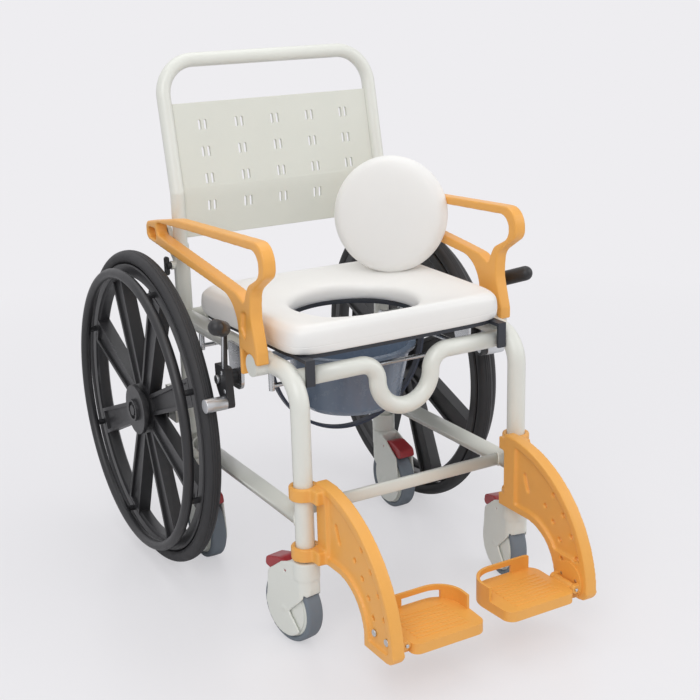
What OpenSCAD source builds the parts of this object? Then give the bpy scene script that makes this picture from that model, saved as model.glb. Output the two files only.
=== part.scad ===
// Self-propelled shower commode chair on two drive wheels and four castors.
// The chair faces -Y, X runs across it, and the floor is the plane z = 0.

/* [Drive wheels] */
// Outer diameter of a drive wheel
wheel_d = 600; // [560:5:640]
// Width of the drive wheel's tyre
tyre_w = 30; // [26:1:36]
// Depth of the moulded rim under the tyre
rim_depth = 24; // [18:1:30]
// Width of the moulded rim
rim_w = 26; // [22:1:30]
// Distance between the middle planes of the two drive wheels
wheel_track = 576; // [570:2:620]
// Number of spokes in a drive wheel
spoke_count = 8; // [5:1:10]
// Width of a spoke where it meets the rim
spoke_w = 52; // [40:1:60]
// Diameter of the wheel's hub barrel
hub_d = 64; // [56:1:80]
// Diameter of the hub's outer flange
hub_flange_d = 95; // [84:1:110]
// Diameter of the handrim along the middle of its tube
handrim_d = 522; // [500:2:530]
// Diameter of the handrim's tube
handrim_tube_d = 19; // [16:1:22]
// Distance from the wheel's middle plane out to the handrim
handrim_out = 34; // [30:1:44]
// Diameter of the drive wheel's axle
axle_d = 12; // [10:1:16]

/* [Frame] */
// Distance between the axes of the left and right side tubes
frame_w = 430; // [400:2:436]
// Diameter of the front legs and seat rails
tube_d = 32; // [28:1:34]
// Wall of every frame tube
tube_wall = 2; // [1.5:0.1:3]
// Diameter of the rear posts
post_d = 30; // [28:1:32]
// Distance of the front legs ahead of the wheel axle
leg_ahead = 480; // [460:5:520]
// Distance of the rear posts ahead of the wheel axle
post_ahead = 28; // [24:1:40]
// Height of the seat rails' axes
seat_rail_z = 474; // [460:2:500]
// Radius of the bend from front leg to seat rail
rail_bend_r = 55; // [45:1:60]
// Length of the bent leg tube along the seat rail
leg_run = 20; // [12:1:50]
// Height of the lower ends of legs and posts
foot_z = 160; // [156:1:170]
// Height of the upper ends of the rear posts
post_top_z = 612; // [590:2:620]
// Diameter of the sleeve at a rear post's lower end
post_sleeve_d = 46; // [38:1:50]
// Length of the sleeve at a rear post's lower end
post_sleeve_h = 34; // [20:1:50]
// Distance by which the front legs stand ahead of the dipped front tube
cross_ahead = 28; // [20:1:40]
// Diameter of the dipped front tube
cross_d = 30; // [25:1:32]
// Height of the lowest point of the dip along the tube's axis
dip_z = 379; // [360:1:400]
// Radius of the dip
dip_r = 53; // [45:1:60]
// Radius of the bends at both sides of the dip
shoulder_r = 32; // [28:1:36]
// Height of the lower side rails' axes
lower_rail_z = 230; // [222:1:245]
// Diameter of the lower side rails
lower_rail_d = 30; // [25:1:32]
// Diameter of the lower front tube
lower_cross_d = 22; // [18:1:28]
// Distance by which the front legs stand ahead of the lower front tube
lower_cross_ahead = 40; // [35:1:80]
// Diameter of the rear tube under the seat
rear_cross_d = 25; // [20:1:26]

/* [Backrest] */
// Height of the push bar's axis
back_top_z = 937; // [900:2:960]
// Angle of the reclined upper part
recline = 11.5; // [6:0.5:16]
// Height of the bend in the back tube
back_bend_z = 705; // [680:2:730]
// Radius of the bend in the back tube
back_bend_r = 150; // [100:10:200]
// Radius of the push bar's corners
back_corner_r = 64; // [50:2:80]
// Length of the back tube inside a rear post
socket_depth = 90; // [60:5:90]
// Thickness of the back panel
panel_t = 6; // [4:0.5:8]
// Height of the back panel's lower edge
panel_low_z = 622; // [622:1:640]
// Height of the back panel along its face
panel_h = 243; // [200:1:250]
// Slotted holes across the panel
slot_cols = 5; // [3:1:6]
// Slotted holes up the panel
slot_rows = 4; // [2:1:5]
// Distance between slot columns
slot_pitch_x = 74; // [50:1:76]
// Distance between slot rows
slot_pitch_z = 49; // [36:1:50]
// Length of one slot
slot_len = 19; // [10:1:24]
// Width of one slot
slot_w = 6; // [4:0.5:7]

/* [Seat] */
// Width of the seat pad at its back edge
seat_w_back = 448; // [420:2:452]
// Width of the seat pad at its front edge
seat_w_front = 420; // [400:2:446]
// Distance by which the front legs stand ahead of the seat pad's front edge
seat_front_ahead = 22; // [10:1:40]
// Distance of the seat pad's back edge ahead of the wheel axle
seat_back_ahead = 84; // [76:2:120]
// Thickness of the seat pad
seat_t = 48; // [40:1:60]
// Rise of the pad's crown above its edges
seat_crown = 7; // [3:1:12]
// Thickness of the seat's base board
seat_base_t = 8; // [6:1:10]
// Diameter of the seat's opening
opening_d = 226; // [200:2:240]
// Distance of the opening's centre ahead of the wheel axle
opening_ahead = 288; // [275:1:300]
// Diameter of the lid cushion
lid_d = 219; // [206:1:222]
// Thickness of the lid cushion
lid_t = 36; // [28:1:44]
// Lean of the lid cushion against the right armrest
lid_lean = 10; // [8:1:24]
// Turn of the lid cushion's face away from straight ahead
lid_turn = 45; // [30:1:60]
// Distance of the leaning lid cushion's centre ahead of the wheel axle
lid_ahead = 171; // [160:1:190]

/* [Armrests] */
// Width of an armrest across the chair
arm_w = 22; // [18:1:26]
// Height of the armrest's upper face at the front
arm_top_z = 690; // [675:1:710]
// Thickness of the armrest's bars
arm_bar = 17; // [14:1:22]
// Distance by which the front legs stand ahead of the armrest's front
arm_front_ahead = 28; // [20:1:40]
// Diameter of the armrest's pivot bolt
arm_pin_d = 12; // [8:1:14]
// Distance of the pivot bolt behind the rear post's axis
arm_pivot_back = 34; // [30:1:40]
// Diameter of the rail boss under the armrest's foot
arm_boss_d = 38; // [32:1:42]
// Distance by which the end of the leg tube stands ahead of the rail boss
arm_boss_ahead = 22; // [17:1:30]

/* [Footrests] */
// Distance of the footrest's front ahead of the leg's axis
footrest_reach = 245; // [225:1:265]
// Thickness of the footrest bracket
bracket_t = 22; // [18:1:26]
// Thickness of the recessed web inside the bracket's flange
bracket_web_t = 10; // [6:1:14]
// Width of the bracket's flange
bracket_flange = 14; // [10:1:18]
// Diameter of the height holes in the bracket
bracket_hole_d = 9; // [6:0.5:10]
// Diameter of the bolts that hold the footplate's hinge
bolt_d = 6; // [5:0.5:8]
// Height of the centre of the bracket's front curve
bracket_arc_z = 76; // [70:1:90]
// Wall of the clamp rings around the leg
ring_wall = 8; // [6:1:10]
// Height of a clamp ring
ring_h = 23; // [20:1:28]
// Height of the lower clamp ring's underside
ring_low_z = 163; // [163:1:172]
// Height of the upper clamp ring's underside
ring_high_z = 269; // [260:1:276]
// Width of a footplate across the chair
plate_w = 142; // [120:1:146]
// Depth of a footplate from heel to toe
plate_depth = 118; // [100:1:122]
// Thickness of a footplate
plate_t = 18; // [14:1:20]
// Height of a footplate's upper face
plate_top_z = 98; // [92:1:104]
// Height of the heel loop above the footplate
heel_rise = 24; // [10:1:28]
// Radius of the footplate's corners at the heel
heel_corner_r = 46; // [30:1:50]
// Diameter of the footplate's hinge pin
plate_pin_d = 6; // [5:1:8]
// Diameter of the footrest's hinge disc
hinge_disc_d = 64; // [50:1:70]

/* [Castors] */
// Diameter of a castor wheel
castor_d = 125; // [115:1:128]
// Width of a castor tyre
castor_w = 32; // [26:1:36]
// Outward turn of the front castors
castor_splay = 10; // [0:1:20]
// Distance of the castor wheel's axle behind its stem
castor_trail = 38; // [32:1:44]
// Diameter of a castor's axle
castor_axle_d = 10; // [8:1:12]
// Diameter of a castor's stem
stem_d = 12; // [10:1:16]
// Length of a castor's stem
stem_len = 40; // [30:1:50]
// Thickness of a castor fork's side
fork_t = 4; // [3:0.5:6]

/* [Bucket] */
// Radius of the bucket's rim
bucket_rim_r = 122; // [110:1:126]
// Radius of the bucket's floor
bucket_floor_r = 92; // [80:1:100]
// Depth of the bucket
bucket_depth = 108; // [90:1:116]
// Wall of the bucket
bucket_wall = 3; // [2:0.5:4]
// Distance of the bucket's axis ahead of the wheel axle
bucket_ahead = 264; // [255:1:275]
// Height of the runners' axes under the bucket's ears
runner_z = 434; // [428:1:438]
// Diameter of the bucket's runners
runner_d = 10; // [8:1:12]
// Distance of a runner from the chair's middle plane
runner_x = 174; // [172:1:182]
// Distance of the runners' front bar ahead of the bucket's axis
runner_front = 118; // [118:1:122]
// Distance of the runners' rear bars ahead of the wheel axle
runner_rear_ahead = 100; // [80:1:110]
// Radius of the bucket handle's bow
bail_r = 158; // [152:1:160]

/* [Brakes] */
// Gap between a brake shoe and the tyre when the brake is off
brake_gap = 14; // [8:1:20]
// Diameter of a brake shoe
shoe_d = 24; // [18:1:30]
// Angle of the brake shoe above the axle's level
shoe_angle = 17; // [12:1:22]
// Length of a brake lever's grip
grip_len = 66; // [55:1:80]
// Diameter of a brake lever's grip
grip_d = 27; // [22:1:30]

/* [Hidden] */
$fn = 64;
// Radial clearance of a pin, stem or tube that turns or slides in its hole
fit = 0.05;
// Gap kept between pieces that move past each other
gap = 0.3;
// Swelling of a tube where it is bent sharply
bead = 0.4;

// Places along the chair, measured ahead of the wheel axle
axle_z = wheel_d / 2;
front_ahead = leg_ahead + footrest_reach;
axle_y = (front_ahead - wheel_d / 2) / 2;
function ahead(d) = axle_y - d;
side_x = frame_w / 2;
wheel_x = wheel_track / 2;
leg_y = ahead(leg_ahead);
post_y = ahead(post_ahead);
post_bore = post_d - 2 * tube_wall;
cross_y = leg_y + cross_ahead;
cross_z = dip_z + dip_r + shoulder_r;

// Seat levels
base_z = seat_rail_z + tube_d / 2 + gap;
pad_z = base_z + seat_base_t;
seat_front_y = leg_y + seat_front_ahead;
seat_back_y = ahead(seat_back_ahead);
opening_y = ahead(opening_ahead);

// Wheel parts
rim_r = wheel_d / 2 - rim_depth;
rim_inner_r = rim_r - rim_depth;
hub_in = 26;
hub_out = 30;
cap_d = 42;
cap_out = 36;
spoke_t = 24;
spoke_rib = 7;

// Backrest parts
back_d = post_bore - 2 * fit;
back_up = round((back_top_z - back_bend_z) / cos(recline));
back_low_z = post_top_z - socket_depth;
screw_z = post_top_z - 38;
screw_d = 8;
screw_boss_d = 16;
screw_boss_l = 7;

// Armrest parts
arm_in_x = side_x + max(tube_d, post_d) / 2 + 0.5;
arm_pivot_y = post_y + arm_pivot_back;
arm_pivot_z = post_top_z + 17;
arm_plate_t = 6;
arm_front_y = leg_y + arm_front_ahead;
boss_y = leg_y + rail_bend_r + leg_run + arm_boss_ahead;
boss_z = seat_rail_z + 2;
lug_t = 8;

// Footrest parts, with the bracket on the inner side of the leg
bracket_x = side_x - tube_d / 2 - bracket_t + 1;
bracket_rear = 14;
bracket_low_z = 72;
bracket_toe_r = 18;
bracket_arc_ahead = 21;
bracket_arc_r = footrest_reach - bracket_arc_ahead;
heel_arc_r = 78;
heel_arc_z = ring_low_z - heel_arc_r;
heel_arc_ahead = 80;
hinge_y = leg_y - footrest_reach + 44;
hinge_z = plate_top_z - 2;
hinge_disc_t = 4;
ear_w = 8;
knuckle_d = 14;
knuckle_w = 44;
knuckle_clear = 0.6;
hinge_x = bracket_x - hinge_disc_t - knuckle_d / 2 - knuckle_clear;
plate_x = hinge_x - knuckle_d / 2 - 1;

// Castor parts
castor_r = castor_d / 2;
castor_hub_r = castor_r - 11;
fork_gap = castor_w / 2 + 1.5;
collar_d = 46;
collar_z = castor_d + 3;
pedal_y = castor_trail - 6;
pedal_z = castor_d + 9;
pedal_pin_d = 5;

// Bucket parts
bucket_y = ahead(bucket_ahead);
bucket_rim_z = runner_z + runner_d / 2 + gap;
bucket_rim_t = 6;
ear_x = runner_x + 7;
ear_depth = 46;
bail_x = bail_r - 1;
bail_pin_d = 5;
bail_z = bucket_rim_z - 5;

// Brake parts, placed from the tyre
shoe_far = wheel_d / 2 + brake_gap + shoe_d / 2;
shoe_y = axle_y - shoe_far * cos(shoe_angle);
shoe_z = axle_z + shoe_far * sin(shoe_angle);
brake_y = shoe_y + 23;
brake_z = shoe_z + 35;
brake_pin_d = 10;
brake_in_x = side_x + tube_d / 2;
brake_plate_t = 6;
lever_x = arm_in_x + arm_w + 2;
lever_t = 13;
shoe_pin_d = 12;

frame_colour = [0.86, 0.87, 0.83];
orange = [0.93, 0.66, 0.34];
black = [0.17, 0.17, 0.18];
white = [0.93, 0.92, 0.91];
blue_grey = [0.36, 0.40, 0.46];
steel = [0.75, 0.76, 0.77];

// Arc of points that rounds the corner p between a and b with radius r
function corner_arc(a, p, b, r, n) =
    let (
        u = (a - p) / norm(a - p),
        v = (b - p) / norm(b - p),
        half = acos(u * v) / 2,
        c = p + (u + v) / norm(u + v) * r / sin(half),
        s = p + u * r / tan(half) - c,
        e = p + v * r / tan(half) - c,
        from = atan2(s.y, s.x),
        sweep = (atan2(e.y, e.x) - from + 540) % 360 - 180
    )
    [for (i = [0:n]) c + r * [cos(from + sweep * i / n), sin(from + sweep * i / n)]];

// Outline through corners [x, y, radius]
function rounded(corners, n = 6) =
    [for (i = [0:len(corners) - 1])
        let (
            a = corners[(i + len(corners) - 1) % len(corners)],
            p = corners[i],
            b = corners[(i + 1) % len(corners)]
        )
        each p[2] > 0 ? corner_arc([a.x, a.y], [p.x, p.y], [b.x, b.y], p[2], n) : [[p.x, p.y]]];

// Children on the right as drawn, or mirrored to the left
module sided(s) {
    if (s > 0) children();
    else mirror([1, 0, 0]) children();
}

// Side-view outline (y, z) thickened from x0 towards +X
module side_plate(x0, t) {
    translate([x0, 0, 0]) rotate([90, 0, 90]) linear_extrude(t) children();
}

module pipe_section(d, wall) {
    difference() {
        circle(d = d);
        circle(d = d - 2 * wall);
    }
}

// Straight pipe between two points
module pipe(p, q, d, wall = tube_wall) {
    v = q - p;
    translate(p) rotate([0, acos(v.z / norm(v)), atan2(v.y, v.x)])
        linear_extrude(norm(v)) pipe_section(d, wall);
}

// Solid round bar between two points
module bar(p, q, d) {
    v = q - p;
    translate(p) rotate([0, acos(v.z / norm(v)), atan2(v.y, v.x)]) cylinder(d = d, h = norm(v));
}

// Round bend in a plane x = c.x, turning from +Y (0) towards +Z (90)
module bend_yz(c, r, from, to, d) {
    translate(c) rotate([90, 0, 90]) rotate([0, 0, from]) rotate_extrude(angle = to - from)
        translate([r, 0]) circle(d = d);
}

// Round bend in a plane y = c.y, turning from +X (0) towards +Z (90)
module bend_xz(c, r, from, to, d) {
    translate(c) rotate([90, 0, 0]) rotate([0, 0, from]) rotate_extrude(angle = to - from)
        translate([r, 0]) circle(d = d);
}

// Space that a side's post takes up
module post_envelope() {
    translate([side_x, post_y, foot_z]) cylinder(d = post_d, h = post_top_z - foot_z);
}

// Solid bend between a side's front leg and seat rail
module leg_bend(d) {
    bend_yz([side_x, leg_y + rail_bend_r, seat_rail_z - rail_bend_r], rail_bend_r, 90, 180, d);
}

// Front leg's path as a solid of diameter d
module leg_bar(d) {
    translate([side_x, leg_y, foot_z]) cylinder(d = d, h = seat_rail_z - rail_bend_r - foot_z);
    leg_bend(d);
    bar([side_x, leg_y + rail_bend_r, seat_rail_z],
        [side_x, leg_y + rail_bend_r + leg_run, seat_rail_z], d);
}

// Front leg with its castor plug below and its bend into the seat rail
module front_leg(s) {
    color(frame_colour) sided(s) {
        difference() {
            leg_bar(tube_d);
            leg_bar(tube_d - 2 * tube_wall);
        }
        translate([side_x, leg_y, foot_z]) linear_extrude(stem_len + 2)
            pipe_section(tube_d - tube_wall, (tube_d - tube_wall - stem_d) / 2 - fit);
    }
}

// Boss on the seat rail that the armrest's foot stands on
module arm_boss() {
    translate([side_x, boss_y, boss_z]) rotate([0, 90, 0])
        cylinder(d = arm_boss_d, h = arm_in_x + arm_w - 2 - side_x);
}

// Seat rail from the leg's end to the rear post, with the armrest's boss
module seat_rail(s) {
    color(frame_colour) sided(s) {
        difference() {
            union() {
                pipe([side_x, leg_y + rail_bend_r + leg_run, seat_rail_z],
                    [side_x, post_y, seat_rail_z], tube_d);
                arm_boss();
            }
            bar([side_x, leg_y, seat_rail_z], [side_x, post_y, seat_rail_z], tube_d - 2 * tube_wall);
            bar([0, post_y, seat_rail_z], [side_x, post_y, seat_rail_z], rear_cross_d);
            post_envelope();
        }
    }
}

// Rear post with castor sleeve, axle side, back socket, armrest lug and clamp boss
module rear_post(s) {
    plug_z = foot_z + stem_len + 2;
    color(frame_colour) sided(s) difference() {
        union() {
            post_envelope();
            translate([side_x, post_y, foot_z]) cylinder(d = post_sleeve_d, h = post_sleeve_h);
            translate([side_x, post_y, screw_z]) rotate([0, 90, 0])
                cylinder(d = screw_boss_d, h = post_d / 2 + screw_boss_l);
            side_plate(arm_in_x - 1 - lug_t, lug_t) polygon(rounded([
                [post_y, post_top_z - 34, 0],
                [arm_pivot_y + 2, arm_pivot_z - 17, 12],
                [arm_pivot_y + 19, arm_pivot_z - 2, 12],
                [arm_pivot_y + 12, arm_pivot_z + 17, 12],
                [arm_pivot_y - 12, arm_pivot_z + 14, 12],
                [post_y, post_top_z - 4, 0]]));
        }
        translate([side_x, post_y, foot_z - 1]) cylinder(d = stem_d + 2 * fit, h = stem_len + 3);
        translate([side_x, post_y, plug_z]) cylinder(d = post_bore - 4, h = post_top_z);
        translate([side_x, post_y, back_low_z]) cylinder(d = post_bore, h = post_top_z);
        translate([side_x, post_y, screw_z]) rotate([0, 90, 0])
            cylinder(d = screw_d + 2 * fit, h = post_d);
        translate([0, arm_pivot_y, arm_pivot_z]) rotate([0, 90, 0])
            cylinder(d = arm_pin_d, h = arm_in_x);
    }
}

// Path of the dipped front tube as a solid of diameter d
module dipped_bar(d) {
    shoulder_x = dip_r + shoulder_r;
    bend_xz([0, cross_y, dip_z + dip_r], dip_r, 180, 360, d);
    for (s = [-1, 1]) sided(s) {
        bend_xz([shoulder_x, cross_y, dip_z + dip_r], shoulder_r, 90, 180, d);
        bar([shoulder_x, cross_y, cross_z], [side_x, cross_y, cross_z], d);
    }
}

// Front tube that dips in the middle, welded between the legs' bends
module front_cross_tube() {
    color(frame_colour) difference() {
        dipped_bar(cross_d);
        dipped_bar(cross_d - 2 * tube_wall);
        for (s = [-1, 1]) sided(s) leg_bend(tube_d);
    }
}

// Tube across the back under the seat
module rear_cross_tube() {
    color(frame_colour) difference() {
        pipe([-side_x, post_y, seat_rail_z], [side_x, post_y, seat_rail_z], rear_cross_d);
        for (s = [-1, 1]) sided(s) post_envelope();
    }
}

// Pair of low side rails between legs and posts
module lower_rails() {
    color(frame_colour) for (s = [-1, 1]) sided(s) difference() {
        pipe([side_x, leg_y, lower_rail_z], [side_x, post_y, lower_rail_z], lower_rail_d);
        translate([side_x, leg_y, foot_z]) cylinder(d = tube_d, h = seat_rail_z - foot_z);
        post_envelope();
    }
}

// Thinner tube across the front between the low side rails
module lower_cross_tube() {
    y = leg_y + lower_cross_ahead;
    color(frame_colour) difference() {
        pipe([-side_x, y, lower_rail_z], [side_x, y, lower_rail_z], lower_cross_d);
        for (s = [-1, 1]) sided(s)
            bar([side_x, leg_y, lower_rail_z], [side_x, post_y, lower_rail_z], lower_rail_d);
    }
}

// Pair of blocks that carry the drive wheels' axles on the posts
module axle_brackets() {
    block_h = 66;
    sleeve_d = axle_d + 18;
    x0 = side_x + 8;
    x1 = wheel_x - hub_in - 1;
    color(frame_colour) for (s = [-1, 1]) sided(s) difference() {
        union() {
            translate([x0, post_y, axle_z - block_h / 2])
                cube([wheel_x - hub_in - 14 - x0, post_ahead + sleeve_d / 2, block_h]);
            translate([x0, axle_y, axle_z]) rotate([0, 90, 0]) cylinder(d = sleeve_d, h = x1 - x0);
        }
        post_envelope();
        translate([0, axle_y, axle_z]) rotate([0, 90, 0]) cylinder(d = axle_d, h = x1 + 1);
    }
}

// Pair of steel axles, headed on the inner side
module wheel_axles() {
    x0 = side_x + 8;
    color(steel) for (s = [-1, 1]) sided(s) translate([0, axle_y, axle_z]) rotate([0, 90, 0]) {
        translate([0, 0, x0 - 6]) cylinder(d = axle_d + 8, h = 6);
        translate([0, 0, x0]) cylinder(d = axle_d, h = wheel_x + hub_out - 4 - x0);
    }
}

// Two rods that the bucket's ears slide on, hung from the seat rails
module bucket_runners() {
    front_y = ahead(bucket_ahead + runner_front);
    rear_y = ahead(runner_rear_ahead);
    bar_d = runner_d - 2;
    past = bar_d;
    color(steel) difference() {
        union() {
            bar([-side_x, front_y, runner_z], [side_x, front_y, runner_z], bar_d);
            for (s = [-1, 1]) sided(s) {
                bar([runner_x, front_y - past, runner_z], [runner_x, rear_y + past, runner_z], runner_d);
                bar([runner_x, rear_y, runner_z], [side_x, rear_y, runner_z], bar_d);
                for (y = [front_y, rear_y])
                    bar([side_x, y, runner_z - bar_d], [side_x, y, seat_rail_z], runner_d);
            }
        }
        for (s = [-1, 1]) sided(s) {
            bar([side_x, leg_y, seat_rail_z], [side_x, post_y, seat_rail_z], tube_d);
            arm_boss();
        }
    }
}

// Pair of plates with the brake levers' pivot pins, fixed to the seat rails
module brake_brackets() {
    color(steel) for (s = [-1, 1]) sided(s) {
        side_plate(brake_in_x, brake_plate_t) polygon(rounded([
            [brake_y - 22, brake_z - 22, 16],
            [brake_y + 22, brake_z - 22, 16],
            [brake_y + 26, seat_rail_z + tube_d / 2 - 2, 5],
            [brake_y - 26, seat_rail_z + tube_d / 2 - 2, 5]]));
        bar([brake_in_x + brake_plate_t, brake_y, brake_z], [lever_x + lever_t + 5, brake_y, brake_z],
            brake_pin_d);
        translate([lever_x + lever_t + gap, brake_y, brake_z]) rotate([0, 90, 0])
            cylinder(d = brake_pin_d + 6, h = 5);
    }
}

// Pair of bolts that the armrests turn on
module arm_pivot_bolts() {
    color(steel) for (s = [-1, 1]) sided(s) translate([0, arm_pivot_y, arm_pivot_z]) rotate([0, 90, 0]) {
        translate([0, 0, arm_in_x - 1 - lug_t]) cylinder(d = arm_pin_d, h = lug_t + arm_plate_t + 2);
        translate([0, 0, arm_in_x + arm_plate_t + gap]) cylinder(d = arm_pin_d + 8, h = 5);
    }
}

// Reclined part of the backrest, drawn upright from the bend
module reclined() {
    translate([0, post_y, back_bend_z]) rotate([-recline, 0, 0]) children();
}

// Path of the backrest's tube as a solid of diameter d
module back_bar(d) {
    for (s = [-1, 1]) sided(s) {
        bar([side_x, post_y, back_low_z], [side_x, post_y, back_bend_z], d);
        translate([side_x, post_y, back_bend_z]) sphere(d = d + bead);
    }
    reclined() {
        for (s = [-1, 1]) sided(s) {
            bar([side_x, 0, 0], [side_x, 0, back_up - back_corner_r], d);
            bend_xz([side_x - back_corner_r, 0, back_up - back_corner_r], back_corner_r, 0, 90, d);
        }
        bar([back_corner_r - side_x, 0, back_up], [side_x - back_corner_r, 0, back_up], d);
    }
}

// Bent tube of the backrest with its push bar
module back_tube() {
    color(frame_colour) difference() {
        back_bar(back_d);
        back_bar(back_d - 2 * tube_wall);
    }
}

// One pair of upright slots through the panel
module slot_pair() {
    for (s = [-1, 1]) translate([s * slot_w * 0.95, 0]) {
        square([slot_w, slot_len - slot_w], center = true);
        for (e = [-1, 1]) translate([0, e * (slot_len - slot_w) / 2]) circle(d = slot_w);
    }
}

// Plastic back panel that follows the bend between the back tubes
module back_panel() {
    half_w = side_x - back_d / 2;
    up_len = panel_h - (back_bend_z - panel_low_z);
    mid_z = up_len - 41 - slot_pitch_z * (slot_rows - 1) / 2;
    mitre = panel_t / 2 * tan(recline / 2);
    top = [post_y, back_bend_z] + up_len * [sin(recline), cos(recline)];
    across = panel_t / 2 * [cos(recline), -sin(recline)];
    color(frame_colour) difference() {
        side_plate(-half_w, 2 * half_w) polygon(rounded([
            [post_y - panel_t / 2, panel_low_z, 1],
            [post_y - panel_t / 2, back_bend_z + mitre, back_bend_r],
            [top.x - across.x, top.y - across.y, 1],
            [top.x + across.x, top.y + across.y, 1],
            [post_y + panel_t / 2, back_bend_z - mitre, back_bend_r],
            [post_y + panel_t / 2, panel_low_z, 1]]));
        reclined() for (i = [0:slot_cols - 1], j = [0:slot_rows - 1])
            translate([(i - (slot_cols - 1) / 2) * slot_pitch_x, back_d,
                mid_z + (j - (slot_rows - 1) / 2) * slot_pitch_z])
                rotate([90, 0, 0]) linear_extrude(2 * back_d) slot_pair();
    }
}

// Wing screw that clamps the back tube in its post
module wing_screw(s) {
    start = side_x + back_d / 2 + gap;
    knob = side_x + post_d / 2 + screw_boss_l + gap;
    color(black) sided(s) translate([0, post_y, screw_z]) rotate([0, 90, 0]) {
        translate([0, 0, start]) cylinder(d = screw_d, h = knob - start + 1);
        translate([0, 0, knob]) cylinder(d = 13, h = 8);
        translate([-13, -3, knob + 3]) cube([26, 6, 9]);
        for (e = [-1, 1]) translate([e * 13, 3, knob + 7.5]) rotate([90, 0, 0]) cylinder(d = 9, h = 6);
    }
}

// Side outline of the armrest's outer edge
function arm_outer() = rounded([
    [arm_pivot_y + 37, arm_pivot_z + 19, 14],
    [post_y - 72, arm_top_z - 17, 250],
    [arm_front_y + 3, arm_top_z - 1, 34],
    [arm_front_y, arm_top_z - 53, 22],
    [arm_front_y + 54, arm_top_z - 88, 28],
    [boss_y - 11, arm_top_z - 130, 60],
    [boss_y - 28, boss_z + 26, 15],
    [boss_y - 28, boss_z + 5, 3],
    [boss_y - 16, boss_z + 5, 3],
    [boss_y - 12, boss_z + 12, 0],
    [boss_y + 22, boss_z + 21, 0],
    [boss_y + 31, boss_z + 21, 0],
    [boss_y + 31, boss_z - 24, 2],
    [boss_y + 39, boss_z - 24, 2],
    [boss_y + 39, arm_top_z - 113, 60],
    [arm_pivot_y + 37, arm_pivot_z - 13, 14]], 10);

// Side outline of the window inside the armrest
function arm_window() = rounded([
    [arm_pivot_y - 16, arm_pivot_z + 24, 9],
    [post_y - 120, arm_top_z - 12 - arm_bar, 250],
    [arm_front_y + arm_bar + 4, arm_top_z - arm_bar, 24],
    [arm_front_y + arm_bar + 6, arm_top_z - 58, 24],
    [boss_y - 3, arm_top_z - 80, 26],
    [boss_y + 13, arm_top_z - 112, 5],
    [boss_y + 42, arm_top_z - 99, 28],
    [boss_y + 93, arm_top_z - 92, 60],
    [arm_pivot_y - 16, arm_pivot_z + 2, 9]], 10);

// Side outline of the hollow below the window
function arm_hollow() = rounded([
    [boss_y + 5, arm_top_z - 126, 4],
    [boss_y + 23, arm_top_z - 130, 4],
    [boss_y + 29, boss_z + 58, 4],
    [boss_y + 13, boss_z + 38, 4]]);

// Armrest loop with its forked foot, the pocket round its pivot and the hollow in its outer face
module armrest(s) {
    hollow_t = 6;
    color(orange) sided(s) difference() {
        side_plate(arm_in_x, arm_w) difference() {
            polygon(arm_outer());
            polygon(arm_window());
        }
        side_plate(arm_in_x + arm_plate_t, arm_w) polygon(rounded([
            [arm_pivot_y - 10, arm_pivot_z + 12, 8],
            [arm_pivot_y + 28, arm_pivot_z + 10, 8],
            [arm_pivot_y + 28, arm_pivot_z - 8, 8],
            [arm_pivot_y - 10, arm_pivot_z - 11, 8]]));
        side_plate(arm_in_x + arm_w - hollow_t, arm_w) polygon(arm_hollow());
        translate([0, arm_pivot_y, arm_pivot_z]) rotate([0, 90, 0])
            cylinder(d = arm_pin_d + 2 * fit, h = 2 * side_x);
        translate([0, boss_y, boss_z]) rotate([0, 90, 0])
            cylinder(d = arm_boss_d + 2 * gap, h = 2 * side_x);
    }
}

// Side outline of the footrest bracket, drawn in by e
module bracket_outline(e = 0) {
    front = leg_y - footrest_reach + e;
    low = bracket_low_z + e;
    toe = bracket_toe_r - e / 2;
    difference() {
        intersection() {
            translate([leg_y - bracket_arc_ahead, bracket_arc_z]) circle(r = bracket_arc_r - e, $fn = 128);
            translate([front, low]) square([footrest_reach - bracket_rear - 2 * e, footrest_reach]);
        }
        difference() {
            translate([front - toe, low - toe]) square(2 * toe);
            translate([front + toe, low + toe]) circle(r = toe);
        }
        translate([leg_y - heel_arc_ahead, heel_arc_z]) circle(r = heel_arc_r + e);
        translate([leg_y - heel_arc_ahead - heel_arc_r - e, 0])
            square([2 * footrest_reach, heel_arc_z]);
        translate([leg_y - heel_arc_ahead, 0])
            square([footrest_reach, heel_arc_z + heel_arc_r + e]);
    }
}

// Footrest bracket with two clamp rings that turn on the front leg
module footrest(s) {
    recess = (bracket_t - bracket_web_t) / 2;
    cut_top = ring_high_z + ring_h + 8;
    color(orange) sided(s) difference() {
        union() {
            side_plate(bracket_x, bracket_t) intersection() {
                bracket_outline();
                translate([leg_y - footrest_reach, 0]) square([footrest_reach, cut_top]);
            }
            for (z = [ring_low_z, ring_high_z]) translate([0, 0, z]) {
                translate([side_x, leg_y, 0]) cylinder(d = tube_d + 2 * ring_wall, h = ring_h);
                translate([bracket_x, leg_y - tube_d - 12, 0])
                    cube([bracket_t, tube_d + 12, ring_h]);
                translate([bracket_x, leg_y - tube_d - 12, 0])
                    cube([side_x - bracket_x, tube_d / 2 + 12, ring_h]);
            }
        }
        side_plate(bracket_x + bracket_t - recess, recess + 1) bracket_recess(0, cut_top);
        side_plate(bracket_x - 1, recess + 1) bracket_recess(hinge_z + hinge_disc_d / 2 + 8, cut_top);
        side_plate(bracket_x - 1, bracket_t + 2) bracket_holes();
        translate([side_x, leg_y, 0]) cylinder(d = tube_d + 2 * fit, h = seat_rail_z);
    }
}

// Recess of the bracket between two heights
module bracket_recess(low, high) {
    intersection() {
        bracket_outline(bracket_flange);
        translate([leg_y - footrest_reach, low])
            square([footrest_reach - tube_d - 14, high - bracket_flange - low]);
    }
}

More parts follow.
